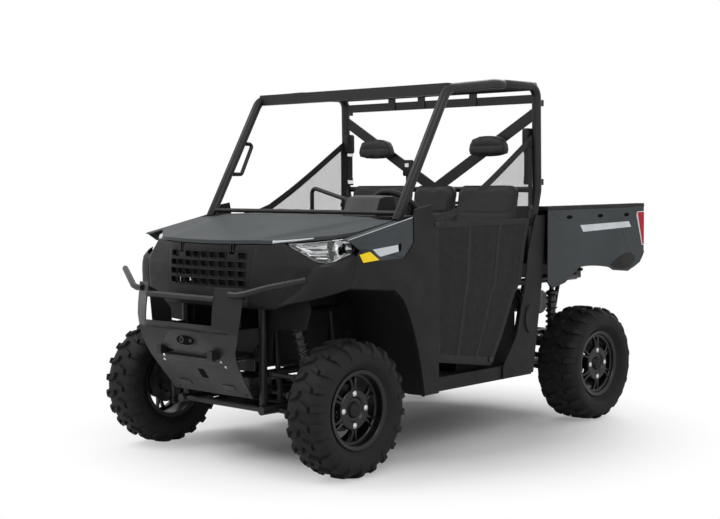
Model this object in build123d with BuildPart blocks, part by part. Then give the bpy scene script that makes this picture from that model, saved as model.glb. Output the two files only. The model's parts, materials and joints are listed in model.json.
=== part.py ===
"""Side by side utility vehicle: two-seat cab under a roll cage, dumping cargo bed, four driven wheels.

Millimetres. +Z up, the vehicle faces -Y, +X is its own left side. The origin is on the ground under
the middle of the overall box. Most pieces are drawn for the left side and mirrored about X = 0.
"""

import os
from math import cos, pi, radians, sin

from build123d import *

os.makedirs("parts", exist_ok=True)

# ---------------------------------------------------------------- driving dimensions
WHEELBASE = 2057.0
FRONT_AXLE_Y = -1066.0
REAR_AXLE_Y = FRONT_AXLE_Y + WHEELBASE
FRONT_END_Y = -1524.0          # foremost point of the bumper
REAR_END_Y = 1524.0            # rearmost point of the tailgate

FIT = 0.3                      # gap between pieces that are bolted or seated together
MOVE_GAP = 6.0                 # gap between a moving piece and its neighbours
PIN_PLAY = 0.08                # radial play at pins and shafts

# Wheels: tyre and rim sizes, one row per axle
TYRE_R = 330.0                 # to the lugs' tips
LUG_DEPTH = 18.0
LUG_PITCHES = 11               # lugs round each row
BEAD_R = 178.0                 # rim seat radius
RIM_FLANGE_R = 190.0
BARREL_WALL = 14.0
#            width of tyre, width of rim, plane of wheel centre, face of the spokes
FRONT_WHEEL = dict(y=FRONT_AXLE_Y, tyre=230.0, rim=178.0, plane=679.0, face=735.0)
REAR_WHEEL = dict(y=REAR_AXLE_Y, tyre=280.0, rim=203.0, plane=654.0, face=747.0)

# Steering and knuckles
KINGPIN_X = 600.0
STEER_ARM = 100.0              # tie-rod eye behind the kingpin
SPINDLE_R = 20.0
KNUCKLE_R = 45.0
KNUCKLE_DEPTH = 40.0
BALL_Z = 100.0                 # ball joints above and below the axle
STEER_TILT = 30.0              # steering wheel plane off upright
STEER_CENTRE = (370.0, -330.0, 1190.0)
STEER_WHEEL_R = 175.0
STEER_GRIP_R = 15.0

# Frame
RAIL_X = 300.0
RAIL_Z = TYRE_R - 30.0
RAIL_R = 22.0
SILL_X = 640.0
SILL_Z = 362.0
OUTRIGGER_RISE = (SILL_Z - RAIL_Z) / (SILL_X - RAIL_X)
SILL_R = 22.0
CROSS_R = 18.0                 # upper rails and outriggers
POST_R = 13.5                  # upright posts
TIE_R = 14.0                   # crossmembers
TOWER_R = 20.0                 # front tower posts
CAB_LEG_R = 21.0               # legs that carry the cage
FLOOR_WALL = 8.0
FLOOR_Z = SILL_Z + SILL_R + FIT        # underside of the cab floor

# Roll cage
CAGE_R = 25.0
ROOF_Z = 1905.0                # centre of the roof tubes at the rear
CAGE_SPLIT_Y = 120.0           # joint between front and rear cage halves
CAGE_TOP = ROOF_Z + 2 * CAGE_R # above everything on the cage

# Bed
BED_HINGE_Y = 1370.0
BED_HINGE_Z = 842.0
BED_HINGE_R = 10.0
BED_RAIL_Z = 1252.0            # top of the bed rail
BED_FLOOR_Z = 934.0            # load floor
BED_FRONT_Y = 486.0
BED_TAIL_Y = 1500.0            # outer face of the closed tailgate is just behind
BED_INSIDE_X = 689.0           # half of the inside width
BED_SKIN_X = 745.0             # outer face of the bed sides
BED_WALL = 6.0
GATE_X = 640.0                 # half width of the tailgate

SIDES = (-1, 1)


# ---------------------------------------------------------------- shape helpers
def save(piece, label):
    """Name a finished piece and write it to its own file."""
    piece.part.label = label
    export_step(piece.part, f"parts/{label}.step")


def slab(plane, outline, depth, corner=0.0, mode=Mode.ADD):
    """Flat plate: a closed outline on a plane, given depth along the plane's normal."""
    with BuildSketch(plane) as face:
        with BuildLine():
            Polyline(*outline, close=True)
        make_face()
        if corner:
            fillet(face.vertices(), corner)
    extrude(face.sketch, amount=depth, mode=mode)


def band(plane, route, wall, depth, mode=Mode.ADD):
    """Bent sheet: an open route on a plane, thickened to its left by wall, given depth."""
    with BuildSketch(plane) as strip:
        with BuildLine() as edge:
            Polyline(*route)
            offset(amount=wall, side=Side.LEFT, kind=Kind.INTERSECTION)
        make_face()
    extrude(strip.sketch, amount=depth, mode=mode)


def bar(start, end, radius, mode=Mode.ADD):
    """Straight round bar between two points."""
    run = Vector(*end) - Vector(*start)
    with BuildSketch(Plane(start, z_dir=run)) as section:
        Circle(radius)
    extrude(section.sketch, amount=run.length, mode=mode)


def tube(route, radius, bends):
    """Round tube along straight runs joined by bends; bends is one radius, or one for each corner."""
    with BuildLine() as path:
        FilletPolyline(*route, radius=bends)
    with BuildSketch(Plane(path.line @ 0, z_dir=path.line % 0)) as section:
        Circle(radius)
    sweep(sections=section.sketch, path=path.line)


def block(x0, x1, y0, y1, z0, z1, mode=Mode.ADD):
    """Rectangular block between two values on each axis."""
    with Locations(((x0 + x1) / 2, (y0 + y1) / 2, (z0 + z1) / 2)):
        Box(x1 - x0, y1 - y0, z1 - z0, mode=mode)


def disc(x0, x1, y, z, radius, mode=Mode.ADD):
    """Round disc whose axis runs along X."""
    with BuildSketch(Plane.YZ.offset(x0)) as section:
        with Locations((y, z)):
            Circle(radius)
    extrude(section.sketch, amount=x1 - x0, mode=mode)


def both_sides():
    """Add the mirror image of everything drawn so far."""
    mirror(about=Plane.YZ)


# ---------------------------------------------------------------- wheels
def save_pair(piece, label):
    """Save a left piece and its mirror image on the right."""
    save(piece, f"{label}_left")
    with BuildPart() as right:
        mirror(piece.part, about=Plane.YZ)
    save(right, f"{label}_right")


def wheel_profile(wheel, points):
    """Revolve (offset from the wheel plane, radius) points about the axle."""
    with BuildSketch(Plane.XZ.offset(-wheel["y"])) as section:
        with BuildLine():
            Polyline(*[(wheel["plane"] + s, TYRE_R + r) for s, r in points], close=True)
        make_face()
    revolve(section.sketch, axis=Axis((0, wheel["y"], TYRE_R), (1, 0, 0)))


FACETS = 2 * LUG_PITCHES       # flats round a tyre; every other one carries a lug
CENTRE_ROW = (2.0, 58.0)       # a row of lugs, from and to, measured from the middle of the tread
SHOULDER_ROW = 66.0            # where the shoulder lugs start
SHOULDER = 30.0                # width of the sloping shoulder


def flats(radius):
    """Corners of a many-sided ring whose flats lie at a radius."""
    corner = radius / cos(pi / FACETS)
    return [(corner * sin(2 * pi * (i + 0.5) / FACETS), -corner * cos(2 * pi * (i + 0.5) / FACETS))
            for i in range(FACETS)]


def teeth(radius, depth, phase):
    """Corners of a ring whose every other flat stands out as a lug with radial flanks."""
    points = []
    for i in range(FACETS):
        corner = (radius if (i + phase) % 2 else radius - depth) / cos(pi / FACETS)
        for turn in (i - 0.5, i + 0.5):
            points.append((corner * sin(2 * pi * turn / FACETS), -corner * cos(2 * pi * turn / FACETS)))
    return points


def ring_stack(wheel, stations):
    """Ruled solid through (offset from the wheel plane, ring corners)."""
    rings = []
    for offset_x, corners in stations:
        with BuildSketch(Plane.YZ.offset(wheel["plane"] + offset_x)) as ring:
            with BuildLine():
                Polyline(*[(wheel["y"] + a, TYRE_R + b) for a, b in corners], close=True)
            make_face()
        rings.append(ring.sketch)
    loft(sections=rings, ruled=True)


def make_tyre(axle, wheel):
    half = wheel["tyre"] / 2
    seat = wheel["rim"] / 2 - 9
    tread = TYRE_R - LUG_DEPTH
    # (offset, radius) of the shoulder with the tread, the air inside and the space beside the sidewall
    crown = [(half, tread - 28), (half - SHOULDER, tread)]
    hollow = [(seat - 14, BEAD_R + 8), (half - 22, tread - 26)]
    cheek = [(seat, RIM_FLANGE_R + 2), (half, RIM_FLANGE_R + 50), (half + 1, RIM_FLANGE_R + 50)]
    with BuildPart() as air:
        ring_stack(wheel, [(-s, flats(r)) for s, r in hollow] + [(s, flats(r)) for s, r in hollow[::-1]])
        ring_stack(wheel, [(s, flats(BEAD_R + FIT)) for s in (-seat - 1, seat + 1)])
        for way in SIDES:
            ring_stack(wheel, [(way * s, flats(r)) for s, r in cheek])
    with BuildPart() as tyre:
        ring_stack(wheel, [(-s, flats(r)) for s, r in crown] + [(s, flats(r)) for s, r in crown[::-1]])
        for way in SIDES:
            phase = 0 if way > 0 else 1
            ring_stack(wheel, [(way * s, teeth(TYRE_R, 2 * LUG_DEPTH, phase)) for s in CENTRE_ROW])
            ring_stack(wheel, [(way * SHOULDER_ROW, teeth(TYRE_R, 2 * LUG_DEPTH, phase + 1)),
                               (way * (half - SHOULDER), teeth(TYRE_R, 2 * LUG_DEPTH, phase + 1)),
                               (way * half, teeth(TYRE_R - SHOULDER, LUG_DEPTH, phase + 1))])
        add(air.part, mode=Mode.SUBTRACT)
    save_pair(tyre, f"tyre_{axle}")


SPINDLE_BORE = 54.0            # depth of the hub bore
SPINDLE_LENGTH = SPINDLE_BORE + MOVE_GAP - 3.0
SPOKES = 6
BRAKE_R = 112.0
HUB_R = 42.0
CAP_R = 36.0
CAP_PROUD = 4.0
SPOKE_DEPTH = 30.0


def make_rim(axle, wheel):
    half = wheel["rim"] / 2
    bore = BEAD_R - BARREL_WALL
    lip = 8
    face = wheel["face"] - wheel["plane"]
    back = KINGPIN_X + KNUCKLE_DEPTH + MOVE_GAP - wheel["plane"]
    with BuildPart() as rim:
        # barrel with its two flanges
        wheel_profile(wheel, [(-half, bore), (half, bore), (half, RIM_FLANGE_R),
                                    (half - lip, RIM_FLANGE_R), (half - lip, BEAD_R),
                                    (lip - half, BEAD_R), (lip - half, RIM_FLANGE_R),
                                    (-half, RIM_FLANGE_R)])
        # spoke disc, hub, cap and brake disc
        wheel_profile(wheel, [(face - SPOKE_DEPTH, 0), (face - SPOKE_DEPTH + 8, bore + 1),
                                    (face - 6, bore + 1), (face, 120), (face, 0)])
        wheel_profile(wheel, [(back, 0), (back, HUB_R), (face, HUB_R), (face, 0)])
        wheel_profile(wheel, [(face, 0), (face, CAP_R), (face + CAP_PROUD, CAP_R - 4),
                                    (face + CAP_PROUD, 0)])
        wheel_profile(wheel, [(back + 4, 0), (back + 4, BRAKE_R), (back + 9, BRAKE_R),
                                    (back + 9, 0)])
        # windows between the spokes
        with BuildSketch(Plane.YZ.offset(wheel["plane"] + face + 1)) as windows:
            with Locations((wheel["y"], TYRE_R)):
                with PolarLocations(105, SPOKES, start_angle=30):
                    SlotOverall(96, 56)
        extrude(windows.sketch, amount=-SPOKE_DEPTH - 2, mode=Mode.SUBTRACT)
        # bore for the spindle
        with BuildSketch(Plane.YZ.offset(wheel["plane"] + back)) as bore_face:
            with Locations((wheel["y"], TYRE_R)):
                Circle(SPINDLE_R + PIN_PLAY)
        extrude(bore_face.sketch, amount=SPINDLE_BORE, mode=Mode.SUBTRACT)
    save_pair(rim, f"rim_{axle}")


for axle, wheel in (("front", FRONT_WHEEL), ("rear", REAR_WHEEL)):
    make_tyre(axle, wheel)
    make_rim(axle, wheel)


# ---------------------------------------------------------------- knuckles and uprights
KINGPIN_R = 9.0
KINGPIN_POST_R = 17.0
ARM_EYE = 34.0                 # height of a suspension arm's outer eye
CALIPER_CLEAR = 5.5
TIE_EYE_Z = TYRE_R + 34.0
STEER_ARM_DEPTH = 12.0


def spindle(side, y):
    """Carrier boss with its spindle, from the kingpin line out into the hub bore."""
    inner = side * KINGPIN_X
    outer = side * (KINGPIN_X + KNUCKLE_DEPTH)
    disc(inner, outer, y, TYRE_R, KNUCKLE_R)
    disc(outer, outer + side * SPINDLE_LENGTH, y, TYRE_R, SPINDLE_R)
    caliper(side, y)


def caliper(side, y):
    """Brake caliper on its arm, astride the brake disc above the axle."""
    disc_in = KINGPIN_X + KNUCKLE_DEPTH + MOVE_GAP + 4
    x0 = side * (disc_in - CALIPER_CLEAR - 14)
    x1 = side * (disc_in + 5 + CALIPER_CLEAR + 12)
    gap0 = side * (disc_in - CALIPER_CLEAR)
    gap1 = side * (disc_in + 5 + CALIPER_CLEAR)
    rear = y - 60
    block(min(x0, x1), max(x0, x1), rear - 34, rear + 10, TYRE_R + 60, TYRE_R + 118)
    block(min(gap0, gap1), max(gap0, gap1), rear - 40, rear + 16, TYRE_R + 50,
          TYRE_R + 112, mode=Mode.SUBTRACT)
    arm0, arm1 = sorted((side * KINGPIN_X, gap0))
    block(arm0, arm1, rear - 10, y, TYRE_R + 20, TYRE_R + 72)


def make_knuckle(hand, side):
    x = side * KINGPIN_X
    y = FRONT_AXLE_Y
    post = BALL_Z - ARM_EYE / 2 - 1.5
    with BuildPart() as knuckle:
        spindle(side, y)
        bar((x, y, TYRE_R - post), (x, y, TYRE_R + post), KINGPIN_POST_R)
        bar((x, y, TYRE_R - BALL_Z - ARM_EYE / 2), (x, y, TYRE_R + BALL_Z + ARM_EYE / 2),
            KINGPIN_R)
        # steering arm to the tie-rod eye
        slab(Plane.XY.offset(TIE_EYE_Z - STEER_ARM_DEPTH / 2),
             [(x - 14, y), (x + 14, y), (x + 12, y + STEER_ARM + 12),
              (x - 12, y + STEER_ARM + 12)], STEER_ARM_DEPTH)
    save(knuckle, f"knuckle_{hand}")


for hand, side in (("left", 1), ("right", -1)):
    make_knuckle(hand, side)

with BuildPart() as rear_uprights:
    spindle(1, REAR_AXLE_Y)
    bar((KINGPIN_X, REAR_AXLE_Y, TYRE_R - BALL_Z + ARM_EYE / 2 + FIT),
        (KINGPIN_X, REAR_AXLE_Y, TYRE_R + BALL_Z - ARM_EYE / 2 - FIT), KINGPIN_POST_R)
    both_sides()
save(rear_uprights, "rear_uprights")


# ---------------------------------------------------------------- suspension arms
ARM_R = 13.0
LOWER_NECK_X = 480.0           # where the two legs join into one neck
UPPER_NECK_X = 520.0
LOWER_PIVOT_X = RAIL_X + RAIL_R + FIT
UPPER_PIVOT_X = 262.0
UPPER_RAIL_Z = 470.0
LEG_SPREAD = 120.0
PIVOT_R = 14.0
SADDLE = (420.0, 470.0, 34.0)  # shock saddle on the lower arm: inner and outer x, half length

# Shocks stand between the tower and the saddle, leaning past the half shafts
SHOCK_R = 38.0
SHOCK_ROD_R = 12.0
SHOCK_EYE_R = 14.0
FRONT_SHOCK = dict(top=(375.0, FRONT_AXLE_Y - 41, 745.0), foot=(446.0, FRONT_AXLE_Y + 35, 305.0))
REAR_SHOCK = dict(top=(395.0, REAR_AXLE_Y + 41, 772.0), foot=(446.0, REAR_AXLE_Y - 35, 305.0))


def control_arm(y, inner, neck_x, outer_z, bore):
    """One A-shaped arm: two legs from the frame to a neck, and the eye at the kingpin."""
    x = KINGPIN_X
    inner_x, inner_z = inner[0] + PIVOT_R, inner[1]
    neck_z = outer_z + (inner_z - outer_z) * (x - neck_x) / (x - inner_x)
    bar((x - 4, y, outer_z), (neck_x, y, neck_z), ARM_R)
    for spread in (-LEG_SPREAD, LEG_SPREAD):
        bar((neck_x, y, neck_z), (inner_x, y + spread, inner_z), ARM_R)
        bar((inner_x, y + spread - 24, inner_z), (inner_x, y + spread + 24, inner_z), PIVOT_R)
    bar((x, y, outer_z - ARM_EYE / 2), (x, y, outer_z + ARM_EYE / 2), 24)
    if bore:
        bar((x, y, outer_z - ARM_EYE), (x, y, outer_z + ARM_EYE), KINGPIN_R + PIN_PLAY,
            mode=Mode.SUBTRACT)


for label, axle_y, bore, shock in (("front_arms", FRONT_AXLE_Y, True, FRONT_SHOCK),
                                   ("rear_arms", REAR_AXLE_Y, False, REAR_SHOCK)):
    with BuildPart() as arms:
        control_arm(axle_y, (LOWER_PIVOT_X, RAIL_Z), LOWER_NECK_X, TYRE_R - BALL_Z, bore)
        control_arm(axle_y, (UPPER_PIVOT_X + CROSS_R + FIT, UPPER_RAIL_Z), UPPER_NECK_X,
                    TYRE_R + BALL_Z, bore)
        foot_z = shock["foot"][2] - SHOCK_EYE_R - FIT
        block(SADDLE[0], SADDLE[1], axle_y - SADDLE[2] - 22, axle_y + SADDLE[2] + 22, foot_z - 24, foot_z)
        both_sides()
    save(arms, label)

with BuildPart() as shocks:
    for shock in (FRONT_SHOCK, REAR_SHOCK):
        top, foot = Vector(*shock["top"]), Vector(*shock["foot"])
        run = top - foot
        bar(foot, top, SHOCK_ROD_R)
        bar(foot + run * 0.46, top - run * 0.1, SHOCK_R)
        for end in (foot, top):
            bar(end - Vector(0, 16, 0), end + Vector(0, 16, 0), SHOCK_EYE_R)
    both_sides()
save(shocks, "shocks")


# ---------------------------------------------------------------- driveline
DIFF_X = 95.0
GEARCASE_Z = TYRE_R - 6.0      # underside of both gearcases
GEAR_SEAT_Z = GEARCASE_Z - FIT - TIE_R
SHAFT_R = 13.0
BOOT_R = 34.0
with BuildPart() as gearcases:
    block(-DIFF_X, DIFF_X, FRONT_AXLE_Y - 90, FRONT_AXLE_Y + 80, GEARCASE_Z, TYRE_R + 100)
    block(-DIFF_X - 40, DIFF_X + 40, REAR_AXLE_Y - 120, REAR_AXLE_Y + 110, GEARCASE_Z, TYRE_R + 160)
    fillet(gearcases.edges(), 12)
    # propeller shaft from the rear gearcase forward to the front one
    bar((0, FRONT_AXLE_Y + 70, TYRE_R + 12), (0, REAR_AXLE_Y - 110, TYRE_R + 12), 17)
save(gearcases, "gearcases")

with BuildPart() as half_shafts:
    for axle_y, inner, end in ((FRONT_AXLE_Y, DIFF_X, KINGPIN_X - 36),
                               (REAR_AXLE_Y, DIFF_X + 40, KINGPIN_X - KINGPIN_POST_R - FIT)):
        disc(inner + FIT, inner + 70, axle_y, TYRE_R + 30, BOOT_R)
        bar((inner + 60, axle_y, TYRE_R + 30), (end - 50, axle_y, TYRE_R), SHAFT_R)
        disc(end - 70, end, axle_y, TYRE_R, BOOT_R)
    both_sides()
save(half_shafts, "half_shafts")

# engine and gearbox, one plain block under the front of the bed
ENGINE_Y = (470.0, 800.0)
ENGINE_Z = (372.0, 770.0)
with BuildPart() as engine:
    block(-210, 210, *ENGINE_Y, *ENGINE_Z)
    fillet(engine.edges(), 20)
save(engine, "engine")

MUFFLER_R = 75.0
with BuildPart() as muffler:
    bar((-190, 1225, 640), (190, 1225, 640), MUFFLER_R)
    fillet(muffler.edges(), 18)
    tube([(120, 1225, 640), (120, 1330, 640), (120, 1400, 600)], 24, 60)
    bar((-150, 1225, 640), (-150, ENGINE_Y[1] + FIT, 640), 20)
save(muffler, "muffler")


# ---------------------------------------------------------------- frame
TOWER_X = 285.0
TOWER_Y = -1230.0
TOWER_TOP_Z = 1050.0
UPPER_FRONT_Z = 752.0
DECK_X = 360.0                 # rear upper rails under the bed
DECK_Z = 800.0
DECK_R = 20.0
CAB_LEG_Y = -525.0             # front cab leg above the sill
COWL_Y = -705.0                # foot of the cage at the cowl
COWL_X = 688.0
COWL_Z = 1214.0
BELT_Y = 425.0                 # foot of the rear cage at the belt line
BELT_Z = 1150.0
BELT_X = 676.0
BUMPER_SEAT_Y = -1496.0        # front face of the bumper plate at its brackets
BUMPER_WALL = 6.0

RAIL_TOP_Z = RAIL_Z + RAIL_R + FIT     # where the front and rear sections are bolted on
DECK_LEG_X = 585.0
DECK_LEG_Y = 430.0
# foot of the rear deck on the rear outrigger
DECK_LEG = (DECK_LEG_X, DECK_LEG_Y, RAIL_Z + OUTRIGGER_RISE * (DECK_LEG_X + DECK_R - RAIL_X)
            + CROSS_R * (1 + OUTRIGGER_RISE ** 2) ** 0.5 + FIT)
PLATE = 26.0                   # depth of a shock mount

with BuildPart() as frame_lower:
    # two lower rails, bent up at the tail
    tube([(RAIL_X, TOWER_Y - 32, RAIL_Z), (RAIL_X, 1240, RAIL_Z), (RAIL_X, 1400, RAIL_Z + 90)], RAIL_R, 60)
    # sills, outriggers and cab legs
    bar((SILL_X, -560, SILL_Z), (SILL_X, 450, SILL_Z), SILL_R)
    for y in (-520, 0, 430):
        bar((0, y, RAIL_Z), (RAIL_X, y, RAIL_Z), CROSS_R)
        bar((RAIL_X, y, RAIL_Z), (SILL_X, y, SILL_Z), CROSS_R)
    tube([(SILL_X, CAB_LEG_Y, SILL_Z), (SILL_X + 6, CAB_LEG_Y, 760), (COWL_X + 3, COWL_Y - 12, COWL_Z + 30)],
         CAB_LEG_R, 120)
    block(SILL_X, 760, -800, -600, COWL_Z, COWL_Z + 80, mode=Mode.SUBTRACT)
    tube([(SILL_X, 430, SILL_Z), (666, 430, 800), (BELT_X + 1, BELT_Y, BELT_Z + 20)], CAB_LEG_R, 200)
    block(SILL_X, 760, 380, 480, BELT_Z, BELT_Z + 60, mode=Mode.SUBTRACT)
    both_sides()
    # crossmembers, two of them under the gearcases
    for y, z in ((TOWER_Y, RAIL_Z), (-880, RAIL_Z), (760, RAIL_Z), (1230, RAIL_Z),
                 (FRONT_AXLE_Y, GEAR_SEAT_Z), (REAR_AXLE_Y, GEAR_SEAT_Z)):
        bar((-RAIL_X, y, z), (RAIL_X, y, z), TIE_R)
    # engine pads on the crossmembers
    for s in SIDES:
        for y in (430, 746):
            block(s * 80 - 20, s * 80 + 20, y, y + 68, RAIL_Z, ENGINE_Z[0] - FIT)
save(frame_lower, "frame_lower")


def shock_mounts(shock):
    """Plates that hang the upper shock eyes from the rails."""
    x, y, z = shock["top"]
    for s in SIDES:
        x0, x1 = sorted((s * 240, s * (x + SHOCK_EYE_R + 2)))
        block(x0, x1, y - 24, y + 24, z + SHOCK_EYE_R + FIT, z + PLATE)


with BuildPart() as frame_front:
    # tower at the nose, upper rails and their posts
    bar((TOWER_X, TOWER_Y, RAIL_TOP_Z), (TOWER_X, TOWER_Y, TOWER_TOP_Z), TOWER_R)
    tube([(TOWER_X, TOWER_Y, UPPER_FRONT_Z), (UPPER_PIVOT_X, -1180, UPPER_FRONT_Z),
          (UPPER_PIVOT_X, -684, UPPER_FRONT_Z)], CROSS_R, 30)
    bar((UPPER_PIVOT_X, TOWER_Y, UPPER_RAIL_Z), (UPPER_PIVOT_X, -725, UPPER_RAIL_Z), CROSS_R)
    for y in (-1130, -740):
        bar((RAIL_X - 2, y, RAIL_TOP_Z), (UPPER_PIVOT_X, y, UPPER_FRONT_Z), POST_R)
    both_sides()
    for y, z, x in ((-705, UPPER_FRONT_Z, UPPER_PIVOT_X), (TOWER_Y, UPPER_RAIL_Z + 75.7, TOWER_X),
                    (TOWER_Y, TOWER_TOP_Z - 16, TOWER_X)):
        bar((-x, y, z), (x, y, z), TIE_R)
    shock_mounts(FRONT_SHOCK)
    # bumper rails
    for s in SIDES:
        block(s * 190 - 18, s * 190 + 18, BUMPER_SEAT_Y + BUMPER_WALL + 2.0, TOWER_Y, 560, 600)
        block(min(s * 172, s * TOWER_X), max(s * 172, s * TOWER_X), TOWER_Y - 14, TOWER_Y, 560, 600)
save(frame_front, "frame_front")

with BuildPart() as frame_rear:
    # deck rails under the bed, posts and upper arm rails
    tube([DECK_LEG, (SILL_X - 60, 470, DECK_Z - 60), (DECK_X, 620, DECK_Z),
          (DECK_X, BED_HINGE_Y - 30, DECK_Z)], DECK_R, 70)
    block(DECK_LEG[0] - 60, DECK_LEG[0] + 60, DECK_LEG[1] - 60, DECK_LEG[1] + 60, DECK_LEG[2] - 30,
          DECK_LEG[2], mode=Mode.SUBTRACT)
    bar((UPPER_PIVOT_X, 800, UPPER_RAIL_Z), (UPPER_PIVOT_X, 1200, UPPER_RAIL_Z), CROSS_R)
    for y in (820, 1180):
        tube([(RAIL_X - 4, y, RAIL_TOP_Z), (UPPER_PIVOT_X + 21, y, UPPER_RAIL_Z), (DECK_X - 12, y, DECK_Z)],
             POST_R, 60)
    both_sides()
    for y, z, x in ((640, DECK_Z, DECK_X), (1200, DECK_Z, DECK_X), (1195, UPPER_RAIL_Z, UPPER_PIVOT_X)):
        bar((-x, y, z), (x, y, z), TIE_R)
    shock_mounts(REAR_SHOCK)
    # bed hinge lugs with their pins
    for s in SIDES:
        block(s * DECK_X - 9, s * DECK_X + 9, BED_HINGE_Y - 40, BED_HINGE_Y + 18, DECK_Z - 10,
              BED_HINGE_Z + 18)
        bar((s * DECK_X - 30, BED_HINGE_Y, BED_HINGE_Z), (s * DECK_X + 30, BED_HINGE_Y, BED_HINGE_Z),
            BED_HINGE_R)
save(frame_rear, "frame_rear")

SKID_WALL = 5.0
with BuildPart() as skid_plate:
    slab(Plane.XY.offset(RAIL_Z - RAIL_R - FIT - SKID_WALL),
         [(-250, -1180), (250, -1180), (330, -900), (330, 1180), (-330, 1180), (-330, -900)],
         SKID_WALL)
save(skid_plate, "skid_plate")

# ---------------------------------------------------------------- rear hitch
RECEIVER_IN = 50.8 + 0.6       # 2 inch square bar plus clearance
RECEIVER_WALL = 6.3
RECEIVER_Z = RAIL_Z + 100.0
HITCH_PIN_R = 8.25
HITCH_PIN_Y = 1426.0
RECEIVER_END_Y = 1470.0
with BuildPart() as hitch_receiver:
    half = RECEIVER_IN / 2
    wall = half + RECEIVER_WALL
    block(-wall, wall, 1262, RECEIVER_END_Y, RECEIVER_Z - wall, RECEIVER_Z + wall)
    block(-half, half, 1290, RECEIVER_END_Y + 1, RECEIVER_Z - half, RECEIVER_Z + half,
          mode=Mode.SUBTRACT)
    # mounting plate against the ends of the lower rails
    for s in SIDES:
        x0, x1 = sorted((s * (wall - 2), s * (RAIL_X - RAIL_R - FIT)))
        block(x0, x1, 1340, 1372, RECEIVER_Z - 55, RECEIVER_Z - 8)
    bar((-wall - 4, HITCH_PIN_Y, RECEIVER_Z), (wall + 4, HITCH_PIN_Y, RECEIVER_Z), HITCH_PIN_R,
        mode=Mode.SUBTRACT)
save(hitch_receiver, "hitch_receiver")


# ---------------------------------------------------------------- nose: hood, fascia, grille, lamps
HOOD_FRONT_Y = -1350.0
HOOD_FRONT_Z = 1121.0          # top of the hood at its front edge
HOOD_SLOPE = 0.18
HOOD_REAR_Y = -742.0
HOOD_CROWN = 18.0              # the sides lie this much lower than the middle
HOOD_HALF = 692.0
HOOD_RIM = 18.0                # depth of the rim all round
HOOD_WALL = 5.0
HOOD_PIVOT = (-1326.0, 1066.0)         # y, z of the hood hinge
HOOD_PIVOT_R = 5.0
HOOD_LUG_X = 186.0
HOOD_LUG = 24.0                # width of a hinge lug
HOOD_PLAN = [(398, -1284), (630, -1098), (HOOD_HALF, -1000), (HOOD_HALF, HOOD_REAR_Y)]


def hood_top(y):
    """Height of the hood's middle line."""
    return HOOD_FRONT_Z + HOOD_SLOPE * (y - HOOD_FRONT_Y)


def hood_plan(inset):
    """Hood outline in plan on the current sketch, inset by a wall."""
    points = [(x - inset, y) for x, y in HOOD_PLAN]
    first, last = points[0], points[-1]
    front = HOOD_FRONT_Y + inset
    with BuildLine() as edge:
        ThreePointArc((-first[0], first[1] + inset), (0, front), (first[0], first[1] + inset))
        Polyline((first[0], first[1] + inset), *points[1:-1], (last[0], last[1] - inset))
        Line((last[0], last[1] - inset), (-last[0], last[1] - inset))
        Polyline((-last[0], last[1] - inset), *[(-x, y) for x, y in reversed(points[1:-1])],
                 (-first[0], first[1] + inset))
    make_face(edge.edges())


def crowned_slab(lift, depth, mode):
    """Slab under the crowned, sloping hood surface, moved up by lift."""
    tilt = Plane(origin=(0, HOOD_FRONT_Y - 60, hood_top(HOOD_FRONT_Y - 60) + lift),
                 x_dir=(1, 0, 0), z_dir=(0, 1, HOOD_SLOPE))
    # on this plane local y points down the slope's normal
    up = tilt.y_dir.Z / abs(tilt.y_dir.Z)
    with BuildSketch(tilt) as section:
        with BuildLine():
            ThreePointArc((-760, -up * HOOD_CROWN), (0, 0), (760, -up * HOOD_CROWN))
            Polyline((760, -up * HOOD_CROWN), (760, -up * depth), (-760, -up * depth),
                     (-760, -up * HOOD_CROWN))
        make_face()
    extrude(section.sketch, amount=900, mode=mode)


with BuildPart() as hood_cavity:
    with BuildSketch(Plane.XY.offset(990)) as inner_plan:
        hood_plan(HOOD_WALL)
    extrude(inner_plan.sketch, amount=320)
    crowned_slab(-HOOD_WALL, HOOD_CROWN + 120, Mode.INTERSECT)

with BuildPart() as hood:
    with BuildSketch(Plane.XY.offset(1000)) as outer_plan:
        hood_plan(0)
    extrude(outer_plan.sketch, amount=300)
    crowned_slab(0, HOOD_CROWN + 90, Mode.INTERSECT)
    crowned_slab(-HOOD_RIM, HOOD_CROWN + 300, Mode.SUBTRACT)
    add(hood_cavity.part, mode=Mode.SUBTRACT)
    # hinge lugs inside the front lip
    y, z = HOOD_PIVOT
    for s in SIDES:
        x0, x1 = s * HOOD_LUG_X - HOOD_LUG / 2, s * HOOD_LUG_X + HOOD_LUG / 2
        disc(x0, x1, y, z, 9)
        block(x0, x1, y - 6, y + 7, z, HOOD_FRONT_Z + 1)
        disc(x0 - 5, x1 + 5, y, z, HOOD_PIVOT_R + PIN_PLAY, mode=Mode.SUBTRACT)
save(hood, "hood")

# wheel-arch edge (y, z), front to rear
ARCH = [(-1207, 913), (-1107, 905), (-806, 877), (-733, 824), (-659, 672), (-607, 494), (-578, 336)]

FLARE_X = 752.0
FLARE_WALL = 8.0

# Fascia: plan sections of the left half at three heights, each a row of (x, y)
FASCIA_ROWS = {
    800.0: [(0, -1345), (300, -1332), (470, -1302), (640, -1205), (712, -1090)],
    1000.0: [(0, -1352), (320, -1318), (540, -1262), (694, -1150), (726, -1060)],
    1160.0: [(0, -1338), (330, -1290), (430, -1250), (640, -1085), (694, -1000)],
}
FASCIA_LOW_Z, FASCIA_HIGH_Z = min(FASCIA_ROWS), max(FASCIA_ROWS)
FASCIA_LIP = [(440, FASCIA_LOW_Z - 10), (800, FASCIA_LOW_Z - 10), (800, 935), (440, FASCIA_LOW_Z)]
FASCIA_WALL = 8.0
GRILLE_OUTLINE = [(-320, 1112), (-292, 894), (292, 894), (320, 1112)]
LAMP_OUTLINE = [(-156, 1112), (6, 1020), (60, 1015), (190, 1070), (160, 1190), (-156, 1190)]
LAMP_CENTRE = (560.0, -1130.0)
LAMP_DEPTH = 70.0
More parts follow.
